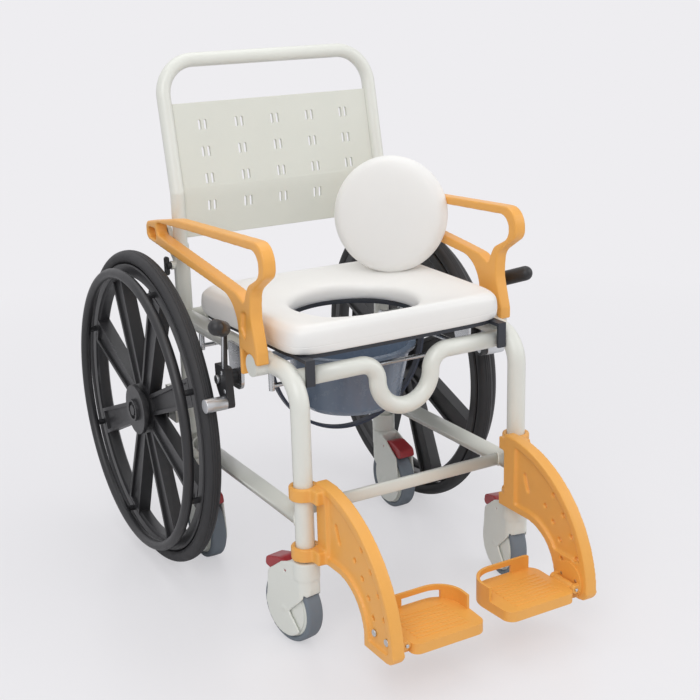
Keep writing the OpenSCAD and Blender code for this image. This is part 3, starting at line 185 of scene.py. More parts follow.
@dataclass(frozen=True)
class Finish:
    """One surface finish, with colour drift, rub patches in the gloss, edges lightened for wear and as a painted
    highlight, and fine relief.
    """

    name: str
    colour: tuple[int, int, int]
    roughness: float
    grain: Grain
    grain_size: float
    grain_depth: float
    metallic: float = 0.0
    coat: float = 0.0
    drift: float = 0.05
    drift_size: float = 0.09
    rub: float = 0.08
    # How far sharp edges are lightened towards a pale grey: edge wear and a painted highlight.
    edge_wear_and_highlight: float = 0.0

    def make(self) -> bpy.types.Material:
        """Build the material.

        Returns:
            The finished material.
        """
        material = bpy.data.materials.new(self.name)
        material.use_nodes = True
        graph = Graph(material.node_tree)
        place = graph.add("ShaderNodeTexCoord", {}, {})["Object"]
        broad = self._noise(graph, place, self.drift_size, BROAD_DETAIL)
        patches = self._noise(graph, place, self.drift_size / PATCHES_PER_DRIFT, PATCH_DETAIL)
        colour = self._colour(graph, broad, patches)
        relief = self._relief(graph, place)
        bump = graph.add("ShaderNodeBump", {}, {
            "Strength": BUMP_STRENGTH, "Distance": self.grain_depth, "Height": relief})["Normal"]
        rough = (patches - 0.5) * (2 * self.rub) + self.roughness + (relief - 0.5) * RELIEF_SHEEN
        shader = graph.add("ShaderNodeBsdfPrincipled", {}, {
            "Base Color": colour, "Roughness": rough.clamped(), "Metallic": self.metallic,
            "Coat Weight": self.coat, "Coat Roughness": COAT_ROUGHNESS, "Normal": bump})["BSDF"]
        graph.add("ShaderNodeOutputMaterial", {}, {"Surface": shader})
        return material

    def _noise(self, graph: Graph, place: Wire, size: float, detail: float) -> Wire:
        """Noise with patches of a given size in metres."""
        return graph.add("ShaderNodeTexNoise", {}, {
            "Vector": place, "Scale": 1 / size, "Detail": detail, "Roughness": NOISE_ROUGHNESS})["Fac"]

    def _colour(self, graph: Graph, broad: Wire, patches: Wire) -> Wire:
        """The base colour, drifting between a darker and a lighter shade, with sharp edges lightened in patches
        for wear and as a painted highlight.

        Args:
            graph: The material's graph.
            broad: Broad noise.
            patches: Finer noise.

        Returns:
            The colour.
        """
        base = linear(self.colour)
        dark = tuple(c * (1 - self.drift) for c in base[:3]) + (1.0,)
        light = tuple(min(c * (1 + self.drift) + 0.01 * self.drift, 1.0) for c in base[:3]) + (1.0,)
        share = (broad * BROAD_SHARE + patches * (1 - BROAD_SHARE) - 0.5) * DRIFT_CONTRAST + 0.5
        mixed = graph.add("ShaderNodeMix", {"data_type": "RGBA"}, {
            0: share.clamped(), 6: dark, 7: light})
        tone = Wire(graph, mixed.node.outputs[2])
        if self.edge_wear_and_highlight == 0:
            return tone
        # Pointiness lightens sharp edges towards a pale grey in patches: partly edge wear, partly a painted
        # highlight where moulded edges catch the light.
        point = graph.add("ShaderNodeNewGeometry", {}, {})["Pointiness"]
        edge = graph.add("ShaderNodeValToRGB", {"stops": [(EDGE_WEAR_AND_HIGHLIGHT_FROM, 0.0), (EDGE_WEAR_AND_HIGHLIGHT_TO, 1.0)]}, {
            "Fac": point})["Color"]
        wear_and_highlight_tone = tuple(c + (EDGE_WEAR_AND_HIGHLIGHT_TONE - c) * self.edge_wear_and_highlight for c in base[:3]) + (1.0,)
        edge_wear_and_highlight = graph.add("ShaderNodeMix", {"data_type": "RGBA"}, {
            0: edge * patches, 6: tone, 7: wear_and_highlight_tone})
        return Wire(graph, edge_wear_and_highlight.node.outputs[2])

    def _relief(self, graph: Graph, place: Wire) -> Wire:
        """The height of the fine relief, from 0 to 1.

        Args:
            graph: The material's graph.
            place: Object coordinates in metres.

        Returns:
            The height.
        """
        scale = 1 / self.grain_size
        if self.grain is Grain.SKIN:
            cells = graph.add("ShaderNodeTexVoronoi", {"feature": "DISTANCE_TO_EDGE"}, {
                "Vector": place, "Scale": scale})["Distance"]
            return (cells * SKIN_CONTRAST).clamped()
        if self.grain is Grain.BRUSHED:
            drawn = graph.add("ShaderNodeMapping", {}, {"Vector": place, "Scale": BRUSHED_STRETCH})["Vector"]
            return self._noise(graph, drawn, self.grain_size, BRUSHED_DETAIL)
        if self.grain is Grain.RUBBER:
            dots = graph.add("ShaderNodeTexVoronoi", {"feature": "SMOOTH_F1"}, {
                "Vector": place, "Scale": scale})["Distance"]
            return (1 - dots).clamped()
        detail = PEEL_DETAIL if self.grain is Grain.ORANGE_PEEL else MOULD_DETAIL
        return self._noise(graph, place, self.grain_size, detail)


class Look(Enum):
    """The finishes of the chair."""

    PAINT = Finish("frame_paint", (225, 226, 218), 0.34, Grain.ORANGE_PEEL, 0.0032, 0.00005, coat=0.25, drift=0.02)
    PANEL = Finish("back_panel_plastic", (220, 221, 211), 0.46, Grain.MOULDED, 0.0012, 0.00006, drift=0.02)
    ORANGE = Finish("orange_plastic", (238, 172, 82), 0.4, Grain.MOULDED, 0.0010, 0.00009, coat=0.08, drift=0.045)
    SKIN = Finish("white_foam_skin", (239, 238, 235), 0.42, Grain.SKIN, 0.0011, 0.00005, drift=0.012, rub=0.06)
    TYRE = Finish("black_tyre", (44, 44, 46), 0.62, Grain.RUBBER, 0.0016, 0.00012, drift=0.12, rub=0.12)
    # The black wheel mouldings and fittings get edges lightened for wear and as a painted highlight.
    WHEEL = Finish("wheel_moulding", (41, 41, 43), 0.42, Grain.MOULDED, 0.0011, 0.00010, drift=0.10, edge_wear_and_highlight=0.12)
    FITTING = Finish("black_fitting", (34, 34, 36), 0.45, Grain.MOULDED, 0.0010, 0.00008, drift=0.10, edge_wear_and_highlight=0.10)
    SHELL = Finish("castor_shell", (226, 228, 221), 0.44, Grain.MOULDED, 0.0012, 0.00006, drift=0.025)
    TREAD = Finish("castor_tread", (112, 121, 130), 0.55, Grain.RUBBER, 0.0014, 0.00008, drift=0.05)
    PEDAL = Finish("red_pedal", (160, 45, 50), 0.38, Grain.MOULDED, 0.0010, 0.00006, coat=0.1, drift=0.06)
    STEEL = Finish("steel", (196, 198, 200), 0.28, Grain.BRUSHED, 0.0006, 0.00003, metallic=1.0, drift=0.06)
    SHOE = Finish("brake_shoe_metal", (205, 207, 209), 0.34, Grain.BRUSHED, 0.0008, 0.00004, metallic=1.0,
                  drift=0.08)
    BUCKET = Finish("bucket_plastic", (113, 128, 148), 0.26, Grain.MOULDED, 0.0014, 0.00005, coat=0.2, drift=0.05)
    BAIL = Finish("bail_plastic", (44, 54, 74), 0.4, Grain.MOULDED, 0.0010, 0.00006, drift=0.06)
    BOARD = Finish("seat_board", (48, 51, 58), 0.5, Grain.MOULDED, 0.0013, 0.00008, drift=0.06)


class FinishShelf:
    """Keeps each finish's material, made once."""

    def __init__(self) -> None:
        """Start with no material made."""
        self._made: dict[Look, bpy.types.Material] = {}

    def get(self, look: Look) -> bpy.types.Material:
        """The material of a finish."""
        if look not in self._made:
            self._made[look] = look.value.make()
        return self._made[look]


def pair(name: str) -> tuple[str, ...]:
    """A name with each side after it."""
    return tuple(f"{name}_{side}" for side in SIDES)


def four(name: str) -> tuple[str, ...]:
    """A castor piece's name at both ends and sides."""
    return tuple(f"{end}_castor_{name}_{side}" for end in ENDS for side in SIDES)


@dataclass(frozen=True)
class Dress:
    """A finish for CAD nodes, and how their edges are rounded."""

    look: Look
    nodes: tuple[str, ...]
    edge: float = 0.0
    soft: float = 0.0


DRESSES = (
    Dress(Look.PAINT, (*pair("front_leg"), *pair("seat_rail"), *pair("rear_post"), "front_cross_tube",
                       "rear_cross_tube", "lower_rails", "lower_cross_tube", "back_tube")),
    Dress(Look.PAINT, ("axle_brackets",), 0.0015),
    Dress(Look.PANEL, ("back_panel",), 0.0008),
    Dress(Look.ORANGE, pair("armrest"), soft=0.0018),
    Dress(Look.ORANGE, pair("footrest"), soft=0.0020),
    Dress(Look.ORANGE, pair("footplate"), 0.0022),
    Dress(Look.ORANGE, pair("footplate_hinge"), 0.0010),
    Dress(Look.STEEL, ("wheel_axles", "bucket_runners", "brake_brackets", "arm_pivot_bolts",
                       *pair("footrest_bolts")), 0.0006),
    Dress(Look.SHELL, four("fork"), soft=0.0016),
    Dress(Look.SHELL, four("hub"), 0.0008),
    Dress(Look.TREAD, four("tyre"), 0.0010),
    Dress(Look.PEDAL, four("pedal"), soft=0.0014),
    Dress(Look.WHEEL, (*pair("mag_wheel"), *pair("handrim")), 0.0018),
    Dress(Look.FITTING, (*pair("wing_screw"), *pair("brake_lever")), 0.0010),
    Dress(Look.SHOE, pair("brake_shoe"), 0.0008),
    Dress(Look.BOARD, ("seat_base",), 0.0010),
    Dress(Look.BUCKET, ("bucket",), 0.0008),
    Dress(Look.BAIL, ("bucket_handle",)),
)


@dataclass(frozen=True)
class EdgeRounder:
    """Rounds the sharp edges of a CAD node by modifiers, with its mesh kept."""

    weld: float = 0.00002
    flat_angle: float = math.radians(0.4)
    sharp_angle: float = math.radians(32)
    segments: int = 3
    easing: int = 7
    easing_factor: float = 0.5

    def soften(self, piece: bpy.types.Object, grid: float) -> None:
        """Round all the edges of a moulded node alike.

        Args:
            piece: The node's object.
            grid: The spacing of its new surface, in metres.
        """
        even = piece.modifiers.new("even_skin", "REMESH")
        even.mode = "VOXEL"
        even.voxel_size = grid
        even.use_smooth_shade = True
        eased = piece.modifiers.new("eased_edges", "SMOOTH")
        eased.factor = self.easing_factor
        eased.iterations = self.easing

    def apply(self, piece: bpy.types.Object, width: float) -> None:
        """Add the modifiers to a node.

        Args:
            piece: The node's object.
            width: How far an edge is rounded, in metres.
        """
        welded = piece.modifiers.new("joined", "WELD")
        welded.merge_threshold = self.weld
        if width > 0:
            flat = piece.modifiers.new("flat_faces", "DECIMATE")
            flat.decimate_type = "DISSOLVE"
            flat.angle_limit = self.flat_angle
            rounded = piece.modifiers.new("rounded_edges", "BEVEL")
            rounded.width = width
            rounded.segments = self.segments
            rounded.limit_method = "ANGLE"
            rounded.angle_limit = self.sharp_angle
            rounded.use_clamp_overlap = True
            rounded.harden_normals = True


class Loft:
    """Builds a mesh of rings of points, joined ring to ring."""

    @staticmethod
    def build(name: str, rings: Sequence[Sequence[Point]], closed_rings: bool, closed_run: bool,
              capped: bool = False) -> bpy.types.Object:
        """Join rings of points into one mesh.

        Args:
            name: The piece's name.
            rings: Rings with the same number of points.
            closed_rings: Whether each ring closes on itself.
            closed_run: Whether the last ring joins the first.
            capped: Whether the first and last rings are filled.

        Returns:
            The new object.
        """
        count = len(rings[0])
        points = [p for ring in rings for p in ring]
        spans = len(rings) if closed_run else len(rings) - 1
        steps = count if closed_rings else count - 1
        faces = [(i * count + j, i * count + (j + 1) % count,
                  (i + 1) % len(rings) * count + (j + 1) % count, (i + 1) % len(rings) * count + j)
                 for i in range(spans) for j in range(steps)]
        if capped:
            faces.append(tuple(range(count))[::-1])
            faces.append(tuple(range((len(rings) - 1) * count, len(rings) * count)))
        mesh = bpy.data.meshes.new(name)
        mesh.from_pydata(points, [], faces)
        mesh.validate()
        mesh.shade_smooth()
        piece = bpy.data.objects.new(name, mesh)
        bpy.context.scene.collection.objects.link(piece)
        return piece


def cad_points(node: str) -> np.ndarray:
    """The corner points of a CAD node's mesh at rest, in metres."""
    return np.array([v.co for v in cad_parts[node].data.vertices], float)


def settle(piece: bpy.types.Object, look: Look, shelf: FinishShelf, body: str,
           replaced: Iterable[str] = ()) -> bpy.types.Object:
    """Give a new piece its finish, its body and the nodes it stands for.

    Args:
        piece: The new piece.
        look: Its finish.
        shelf: Where materials are kept.
        body: The CAD body that it rides on.
        replaced: CAD nodes that it stands for.

    Returns:
        The piece.
    """
    piece.data.materials.append(shelf.get(look))
    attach(piece, body)
    if replaced:
        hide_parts(*replaced)
    log.info("%s rides on %s", piece.name, body)
    return piece


def soft_form(piece: bpy.types.Object) -> None:
    """Smooth a foam piece by subdivision."""
    smooth = piece.modifiers.new("soft_form", "SUBSURF")
    smooth.levels = smooth.render_levels = SOFT_LEVELS


@dataclass
class SeatCushion:
    """The crowned foam seat with its flared opening."""

    width_front: float = 0.420
    width_back: float = 0.448
    opening: float = 0.226
    opening_place: float = -0.0755
    crown: float = 0.007
    waist: float = 0.003
    corner_power: float = 11.0
    around: int = 96

    def _edge(self, angle: float, low: Vector, high: Vector) -> tuple[float, float]:
        """The point of the outline in one direction from the opening's centre.

        Args:
            angle: The direction in radians.
            low: Lowest corner of the CAD pad.
            high: Highest corner of the CAD pad.

        Returns:
            The point's x and y.
        """
        cos, sin = math.cos(angle), math.sin(angle)
        reach_y = high.y - self.opening_place if sin > 0 else self.opening_place - low.y
        reach_x = (self.width_front + self.width_back) / 4
        power = self.corner_power
        reach = ((abs(cos) / reach_x) ** power + (abs(sin) / reach_y) ** power) ** (-1 / power)
        y = self.opening_place + reach * sin
        share = (y - low.y) / (high.y - low.y)
        half = (self.width_front + (self.width_back - self.width_front) * share) / 2
        half -= self.waist * math.sin(math.pi * share)
        return reach * cos * half / reach_x, y

    def _section(self, height: float) -> list[tuple[float, float]]:
        """The section from the opening's foot, over the crown, to the outer foot.

        Args:
            height: The pad's height at its crown, in metres.

        Returns:
            Pairs of the share of the way outwards and the height.
        """
        flat = height - self.crown
        return [
            (0.050, 0.0), (0.030, 0.0004), (0.004, 0.14 * flat), (0.0, 0.36 * flat), (0.012, 0.54 * flat),
            (0.045, 0.68 * flat), (0.10, 0.77 * flat), (0.20, 0.86 * flat), (0.33, 0.94 * flat),
            (0.47, flat), (0.60, flat + 0.45 * self.crown), (0.72, flat + 0.82 * self.crown),
            (0.82, flat + self.crown), (0.90, flat + 0.86 * self.crown), (0.950, flat),
            (0.978, 0.91 * flat), (0.993, 0.76 * flat), (1.0, 0.55 * flat), (1.0, 0.36 * flat),
            (0.999, 0.335 * flat), (0.993, 0.325 * flat), (0.998, 0.315 * flat), (0.997, 0.27 * flat),
            (0.988, 0.12 * flat), (0.972, 0.03 * flat), (0.955, 0.0), (0.93, 0.0)]

    def build(self, shelf: FinishShelf) -> bpy.types.Object:
        """Make the cushion in the place of its CAD solid.

        Args:
            shelf: Where materials are kept.

        Returns:
            The cushion.
        """
        low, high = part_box("seat_pad")
        section = self._section(high.z - low.z)
        rings = []
        for i in range(self.around):
            angle = 2 * math.pi * i / self.around
            inner = (self.opening / 2 * math.cos(angle), self.opening_place + self.opening / 2 * math.sin(angle))
            outer = self._edge(angle, low, high)
            rings.append([(inner[0] + (outer[0] - inner[0]) * share, inner[1] + (outer[1] - inner[1]) * share,
                           low.z + rise) for share, rise in section])
        cushion = Loft.build("seat_cushion", rings, True, True)
        soft_form(cushion)
        settle(cushion, Look.SKIN, shelf, "seat", ["seat_pad"])
        return cushion


@dataclass
class LidCushion:
    """The round foam lid that stands on the seat and leans on the armrest."""

    turn: float = math.radians(45)
    lean: float = math.radians(10)
    lip: float = 0.013
    around: int = 112

    def _axes(self) -> Matrix:
        """The lid's axes as rows: across, up along the face, and out of the face."""
        cos_t, sin_t = math.cos(self.turn), math.sin(self.turn)
        cos_l, sin_l = math.cos(self.lean), math.sin(self.lean)
        return Matrix(((cos_t, -sin_t, 0.0), (sin_t * sin_l, cos_t * sin_l, cos_l),
                       (-sin_t * cos_l, -cos_t * cos_l, sin_l)))

    def build(self, shelf: FinishShelf) -> bpy.types.Object:
        """Make the lid in the place of its CAD solid.

        Args:
            shelf: Where materials are kept.

        Returns:
            The lid.
        """
        axes = self._axes()
        spread = cad_points("lid_cushion") @ np.array(axes).T
        low, high = spread.min(0), spread.max(0)
        middle = (low + high) / 2
        radius, thick = (high[0] - low[0]) / 2, high[2] - low[2]
        lip = self.lip
        section = [
            (0.30 * radius, thick), (0.55 * radius, thick - 0.0006), (0.75 * radius, thick - 0.0017),
            (radius - 1.25 * lip, thick - 0.0034), (radius - 0.8 * lip, thick - 0.0055),
            (radius - 0.34 * lip, thick - 0.011), (radius - 0.06 * lip, 0.56 * thick), (radius, 0.47 * thick),
            (radius - 0.0002, 0.42 * thick), (radius - 0.0014, 0.405 * thick), (radius - 0.0006, 0.39 * thick),
            (radius - 0.0012, 0.32 * thick), (radius - 0.30 * lip, 0.14 * thick),
            (radius - 0.72 * lip, 0.03 * thick), (radius - 1.1 * lip, 0.0), (0.6 * radius, 0.0)]
        across, up, out = (Vector(row) for row in axes)
        centre = across * middle[0] + up * middle[1]
        spokes = [across * math.cos(2 * math.pi * i / self.around) + up * math.sin(2 * math.pi * i / self.around)
                  for i in range(self.around)]
        rings = [[tuple(centre + spoke * r + out * (low[2] + h)) for spoke in spokes] for r, h in section]
        lid = Loft.build("round_lid", rings, True, False, capped=True)
        soft_form(lid)
        settle(lid, Look.SKIN, shelf, "lid", ["lid_cushion"])
        return lid


@dataclass
class WheelTyre:
    """A drive wheel's tyre with grooves round its tread."""

    side: str
    around: int = 160
    groove_depth: float = 0.0014
    groove_half: float = 0.0011
    groove_places: tuple[float, ...] = (-0.30, 0.0, 0.30)
    crown_rows: int = 28
    crown_power: float = 2.2
    crown_share: float = 0.52
    seat_gap: float = 0.001
    wall_place: float = 0.80
    wall_rise: float = 0.35
    foot_place: float = 0.55
    groove_edges: tuple[float, ...] = (-1.0, -0.55, 0.55, 1.0)
    groove_floor: float = 0.7

    def _crown(self, half: float, deep: float) -> list[tuple[float, float]]:
        """The outer half of the section, from one side wall to the other.

        Args:
            half: Half of the tyre's width.
            deep: Depth of the section.

        Returns:
            Pairs of the place across and the depth below the tread's top.
        """
        places = sorted({round(-1 + 2 * k / self.crown_rows, 4) for k in range(self.crown_rows + 1)} | {
            round(g + e * self.groove_half / half, 4)
            for g in self.groove_places for e in self.groove_edges})
        rows = []
        for place in places:
            sunk = any(abs(place - g) * half < self.groove_floor * self.groove_half for g in self.groove_places)
            drop = deep * (1 - math.sqrt(max(1 - abs(place) ** self.crown_power, 0.0)))
            rows.append((place * half, drop + (self.groove_depth if sunk else 0.0)))
        return rows

    def build(self, shelf: FinishShelf) -> bpy.types.Object:
        """Make the tyre in the place of its CAD solid.

        Args:
            shelf: Where materials are kept.

        Returns:
            The tyre.
        """
        node = f"wheel_tyre_{self.side}"
        low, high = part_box(node)
        middle = (low + high) / 2
        points = cad_points(node)
        reach = np.hypot(points[:, 1] - middle.y, points[:, 2] - middle.z)
        outer, inner = float(reach.max()), float(reach.min())
        half = (high.x - low.x) / 2
        crown = self._crown(half, (outer - inner) * self.crown_share)
        section = [(x, outer - drop) for x, drop in crown]
        foot = inner + self.seat_gap
        wall = foot + self.wall_rise * (section[-1][1] - foot)
        section += [(self.wall_place * half, wall), (self.foot_place * half, foot),
                    (-self.foot_place * half, foot), (-self.wall_place * half, wall)]
        rings = []
        for i in range(self.around):
            angle = 2 * math.pi * i / self.around
            rings.append([(middle.x + x, middle.y + r * math.cos(angle), middle.z + r * math.sin(angle))
                          for x, r in section])
        tyre = Loft.build(f"grooved_tyre_{self.side}", rings, True, True)
        return settle(tyre, Look.TYRE, shelf, f"wheel_{self.side}", [node])


@dataclass
class BrakeTrim:
    """The bright rod and the two rivets of one brake lever."""

    side: str
    rod_d: float = 0.0090
    rivet_d: float = 0.0080
    rivet_t: float = 0.0012
    end_ease: float = 0.0006
    pivot_from_shoe: tuple[float, float] = (0.023, 0.035)
    block_top: float = 0.020
    rod_sunk: float = 0.003
    rod_foot: tuple[float, float] = (-0.018, 0.024)
    rod_top: tuple[float, float] = (-0.027, 0.090)
    rivet_sunk: float = 0.0005
    rivets: tuple[tuple[float, float], ...] = ((-0.012, 0.014), (-0.022, -0.016))
    around: int = 24

    def _rod(self, name: str, start: Vector, end: Vector, thick: float) -> bpy.types.Object:
        """Make a rod with eased ends.

        Args:
            name: The rod's name.
            start: Its first end.
            end: Its last end.
            thick: Its diameter.

        Returns:
            The rod.
        """
        along = (end - start).normalized()
        across = along.orthogonal().normalized()
        other = along.cross(across)
        length = (end - start).length
        ease = min(self.end_ease, length / 3)
        rings = []
        for place, r in ((0.0, thick / 2 - ease), (ease, thick / 2), (length - ease, thick / 2),
                         (length, thick / 2 - ease)):
            middle = start + along * place
            rings.append([tuple(middle + (across * math.cos(a) + other * math.sin(a)) * r)
                          for a in (2 * math.pi * k / self.around for k in range(self.around))])
        return Loft.build(name, rings, True, False, capped=True)

    def build(self, shelf: FinishShelf) -> list[bpy.types.Object]:
        """Make the rod over the lever's stem and the rivets on its block.

        Args:
            shelf: Where materials are kept.

        Returns:
            The new pieces.
        """
        sign = -1.0 if self.side == "left" else 1.0
        points = cad_points(f"brake_lever_{self.side}")
        shoe_low, shoe_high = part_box(f"brake_shoe_{self.side}")
        shoe = (shoe_low + shoe_high) / 2
        pivot = shoe + Vector((0, *self.pivot_from_shoe))
        block = points[points[:, 2] < pivot.z + self.block_top]
        face = max(abs(block[:, 0])) * sign
        stem_x = face - sign * self.rod_sunk
        foot, top = (Vector((stem_x, pivot.y + y, pivot.z + z)) for y, z in (self.rod_foot, self.rod_top))
        pieces = [self._rod(f"brake_rod_{self.side}", foot, top, self.rod_d)]
        for number, (y, z) in enumerate(self.rivets):
            start = Vector((face - sign * self.rivet_sunk, pivot.y + y, pivot.z + z))
            pieces.append(self._rod(f"brake_rivet_{number + 1}_{self.side}", start,
                                    start + Vector((sign * self.rivet_t, 0, 0)), self.rivet_d))
        return [settle(piece, Look.STEEL, shelf, f"brake_{self.side}") for piece in pieces]


@dataclass(frozen=True)
class TubeJoint:
    """Where the end of a branch tube is welded to a main tube."""

    name: str
    centre: Point
    branch: Point
    main: Point
    branch_d: float
    main_d: float


@dataclass
class WeldBeads:
    """Painted weld beads round the frame's tube joints."""

    bead: float = 0.0021
    ripple: float = 0.10
    ripples: int = 22
    widest: float = 0.985
    around: int = 88
    sides: int = 8

    def joints(self) -> list[TubeJoint]:
        """The frame's welded joints, worked out from the tubes' boxes.

        Returns:
            One entry for each welded end.
        """
        found = []
        leg = {s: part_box(f"front_leg_{s}") for s in SIDES}
        post = {s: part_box(f"rear_post_{s}") for s in SIDES}
        low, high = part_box("lower_rails")
        cross_low, cross_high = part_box("lower_cross_tube")
        rear_low, rear_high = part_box("rear_cross_tube")
        rail_d = high.z - low.z
        rail_z = (low.z + high.z) / 2
        cross = (cross_low + cross_high) / 2
        rear = (rear_low + rear_high) / 2
        cross_d = cross_high.z - cross_low.z
        rear_d = rear_high.z - rear_low.z
        for side, sign in zip(SIDES, (-1.0, 1.0)):
            leg_x = (leg[side][0].x + leg[side][1].x) / 2
            leg_d = leg[side][1].x - leg[side][0].x
            leg_y = leg[side][0].y + leg_d / 2
            post_low, post_high = post[side]
            post_y = rear.y
            post_d = post_high.y - post_low.y
            found.append(TubeJoint(f"leg_weld_{side}", (leg_x, leg_y, rail_z), (0, 1, 0), (0, 0, 1),
                                   rail_d, leg_d))
            found.append(TubeJoint(f"post_weld_{side}", (leg_x, post_y, rail_z), (0, -1, 0), (0, 0, 1),
                                   rail_d, post_d))
            found.append(TubeJoint(f"cross_weld_{side}", (leg_x, cross.y, cross.z), (-sign, 0, 0), (0, 1, 0),
                                   cross_d, rail_d))
            found.append(TubeJoint(f"rear_weld_{side}", (leg_x, post_y, rear.z), (-sign, 0, 0), (0, 0, 1),
                                   rear_d, post_d))
        return found

    def build(self, shelf: FinishShelf) -> list[bpy.types.Object]:
        """Make a rippled bead round each joint.

        Args:
            shelf: Where materials are kept.

        Returns:
            The beads.
        """
        return [settle(self._bead(joint), Look.PAINT, shelf, "frame") for joint in self.joints()]

    def _bead(self, joint: TubeJoint) -> bpy.types.Object:
        """Make one bead along the line where two tubes meet.

        Args:
            joint: The joint.

        Returns:
            The bead.
        """
        out, along = Vector(joint.branch), Vector(joint.main)
        across = out.cross(along)
        big = joint.main_d / 2
        r = min(joint.branch_d / 2, big * self.widest)
        line = []
        for i in range(self.around):
            t = 2 * math.pi * i / self.around
            lift = math.sqrt(big * big - (r * math.sin(t)) ** 2)
            line.append(Vector(joint.centre) + along * (r * math.cos(t)) + across * (r * math.sin(t)) + out * lift)
        rings = []
        for i, point in enumerate(line):
            ahead = (line[(i + 1) % self.around] - line[i - 1]).normalized()
            side = out.cross(ahead).normalized()
            lift = ahead.cross(side)
            swell = self.bead * (1 + self.ripple * math.sin(self.ripples * 2 * math.pi * i / self.around))
            rings.append([tuple(point + (side * math.cos(a) + lift * math.sin(a)) * swell)
                          for a in (2 * math.pi * k / self.sides for k in range(self.sides))])
        return Loft.build(joint.name, rings, True, True)


@dataclass
class CadDressing:
    """Finishes and rounded edges for the CAD nodes that stay."""

    rounder: EdgeRounder

    def apply(self, shelf: FinishShelf) -> None:
        """Dress every node that has a finish.

        Args:
            shelf: Where materials are kept.
        """
        for dress in DRESSES:
            for name in dress.nodes:
                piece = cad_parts[name]
                for slot in piece.material_slots:
                    slot.material = shelf.get(dress.look)
                self.rounder.apply(piece, dress.edge)
                if dress.soft > 0:
                    self.rounder.soften(piece, dress.soft)
                log.info("%s dressed in %s", name, dress.look.value.name)


@dataclass(frozen=True)
class Lamp:
    """A soft square lamp, in metres and watts."""

    name: str
    place: Point
    size: float
    power: float


LAMPS = (
    Lamp("key", (-1.9, -2.3, 2.7), 2.2, 46.0),
    Lamp("fill", (2.6, -1.6, 1.9), 2.4, 22.0),
    Lamp("top", (0.0, 0.3, 3.2), 2.6, 26.0),
)


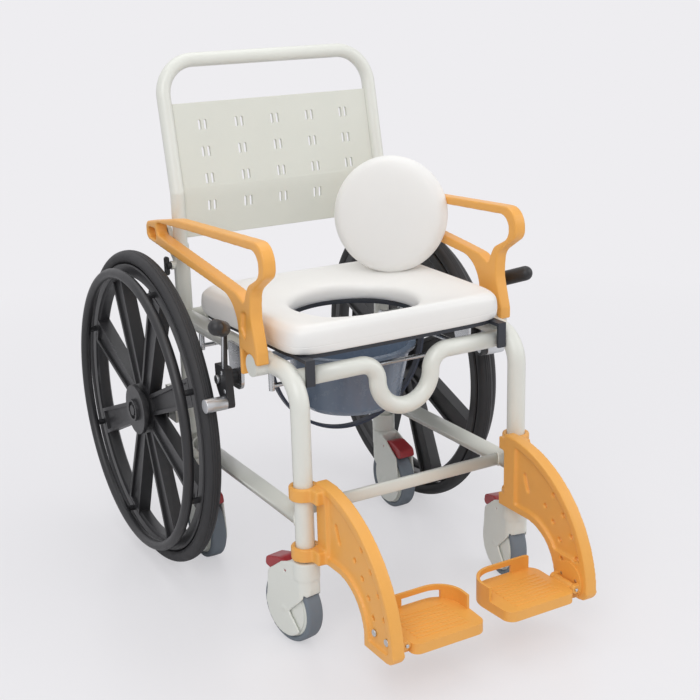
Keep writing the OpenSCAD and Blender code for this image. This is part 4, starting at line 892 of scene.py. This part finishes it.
@dataclass
class Studio:
    """Pale floor, soft lamps and the camera."""

    camera_place: Point = (-1.0900, -1.9604, 1.1012)
    azimuth: float = math.radians(29.8)
    elevation: float = math.radians(17.02)
    roll: float = math.radians(-1.54)
    lens: float = 65.3
    sensor: float = 36.0
    floor_half: float = 40.0
    fade_from: float = 0.5
    fade_over: float = 1.9
    floor_glow: float = 0.58
    floor: tuple[int, int, int] = (238, 237, 239)
    floor_roughness: float = 0.28
    backdrop: tuple[int, int, int] = (238, 237, 240)
    sky: tuple[int, int, int] = (246, 247, 250)
    sky_strength: float = 0.55
    lamp_aim: Point = (0.0, -0.05, 0.45)

    def build(self) -> None:
        """Make the floor, the lamps, the world and the camera."""
        bpy.context.scene.view_settings.view_transform = "Standard"
        self._floor()
        self._world()
        for lamp in LAMPS:
            self._hang(lamp)
        self._camera()

    def _floor(self) -> None:
        """Lay a pale floor."""
        half = self.floor_half
        mesh = bpy.data.meshes.new("floor")
        corners = [(-half, -half, 0), (half, -half, 0), (half, half, 0), (-half, half, 0)]
        mesh.from_pydata(corners, [], [(0, 1, 2, 3)])
        floor = bpy.data.objects.new("floor", mesh)
        bpy.context.scene.collection.objects.link(floor)
        material = bpy.data.materials.new("pale_floor")
        material.use_nodes = True
        graph = Graph(material.node_tree)
        place = graph.add("ShaderNodeTexCoord", {}, {})["Object"]
        far = graph.add("ShaderNodeVectorMath", {"operation": "LENGTH"}, {0: place})["Value"]
        seen = graph.add("ShaderNodeLightPath", {}, {})["Is Camera Ray"]
        fade = ((far - self.fade_from) * (1 / self.fade_over)).clamped()
        share = (fade * (1 - self.floor_glow) + self.floor_glow) * seen
        surface = graph.add("ShaderNodeBsdfPrincipled", {}, {
            "Base Color": linear(self.floor), "Roughness": self.floor_roughness})["BSDF"]
        glow = graph.add("ShaderNodeEmission", {}, {"Color": linear(self.backdrop), "Strength": 1.0})["Emission"]
        shader = graph.add("ShaderNodeMixShader", {}, {0: share, 1: surface, 2: glow})["Shader"]
        graph.add("ShaderNodeOutputMaterial", {}, {"Surface": shader})
        mesh.materials.append(material)

    def _world(self) -> None:
        """Light the scene evenly, with a pale backdrop where the camera sees it."""
        world = bpy.data.worlds.new("studio")
        bpy.context.scene.world = world
        world.use_nodes = True
        graph = Graph(world.node_tree)
        rays = graph.add("ShaderNodeLightPath", {}, {})
        seen = (rays["Is Camera Ray"] + rays["Is Glossy Ray"] + rays["Is Transmission Ray"]).clamped()
        light = graph.add("ShaderNodeBackground", {}, {"Color": linear(self.sky), "Strength": self.sky_strength})
        backdrop = graph.add("ShaderNodeBackground", {}, {"Color": linear(self.backdrop), "Strength": 1.0})
        mixed = graph.add("ShaderNodeMixShader", {}, {0: seen, 1: light["Background"], 2: backdrop["Background"]})
        graph.add("ShaderNodeOutputWorld", {}, {"Surface": mixed["Shader"]})

    def _hang(self, lamp: Lamp) -> None:
        """Hang a soft lamp that faces the chair.

        Args:
            lamp: The lamp.
        """
        light = bpy.data.lights.new(lamp.name, "AREA")
        light.shape = "SQUARE"
        light.size = lamp.size
        light.energy = lamp.power
        holder = bpy.data.objects.new(lamp.name, light)
        holder.location = lamp.place
        aim = Vector(self.lamp_aim) - Vector(lamp.place)
        holder.rotation_euler = aim.to_track_quat("-Z", "Y").to_euler()
        bpy.context.scene.collection.objects.link(holder)

    def _camera(self) -> None:
        """Set the camera where the picture was taken."""
        data = bpy.data.cameras.new("camera")
        data.lens = self.lens
        data.sensor_width = self.sensor
        camera = bpy.data.objects.new("camera", data)
        cos_a, sin_a = math.cos(self.azimuth), math.sin(self.azimuth)
        cos_e, sin_e = math.cos(self.elevation), math.sin(self.elevation)
        back = Vector((-sin_a * cos_e, -cos_a * cos_e, sin_e))
        level = Vector((cos_a, -sin_a, 0.0))
        upright = back.cross(level)
        right = level * math.cos(self.roll) + upright * math.sin(self.roll)
        up = back.cross(right)
        turn = Matrix((right, up, back)).transposed().to_4x4()
        camera.matrix_world = Matrix.Translation(self.camera_place) @ turn
        bpy.context.scene.collection.objects.link(camera)
        bpy.context.scene.camera = camera


def write_sizes() -> None:
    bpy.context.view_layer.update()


def main() -> None:
    """Build the chair's looks piece by piece."""
    logging.basicConfig(level=logging.INFO, format="%(name)s: %(message)s")
    shelf = FinishShelf()
    Studio().build()
    CadDressing(EdgeRounder()).apply(shelf)
    SeatCushion().build(shelf)
    LidCushion().build(shelf)
    for side in SIDES:
        WheelTyre(side).build(shelf)
        BrakeTrim(side).build(shelf)
    WeldBeads().build(shelf)
    write_sizes()


if __name__ == "__main__":
    main()
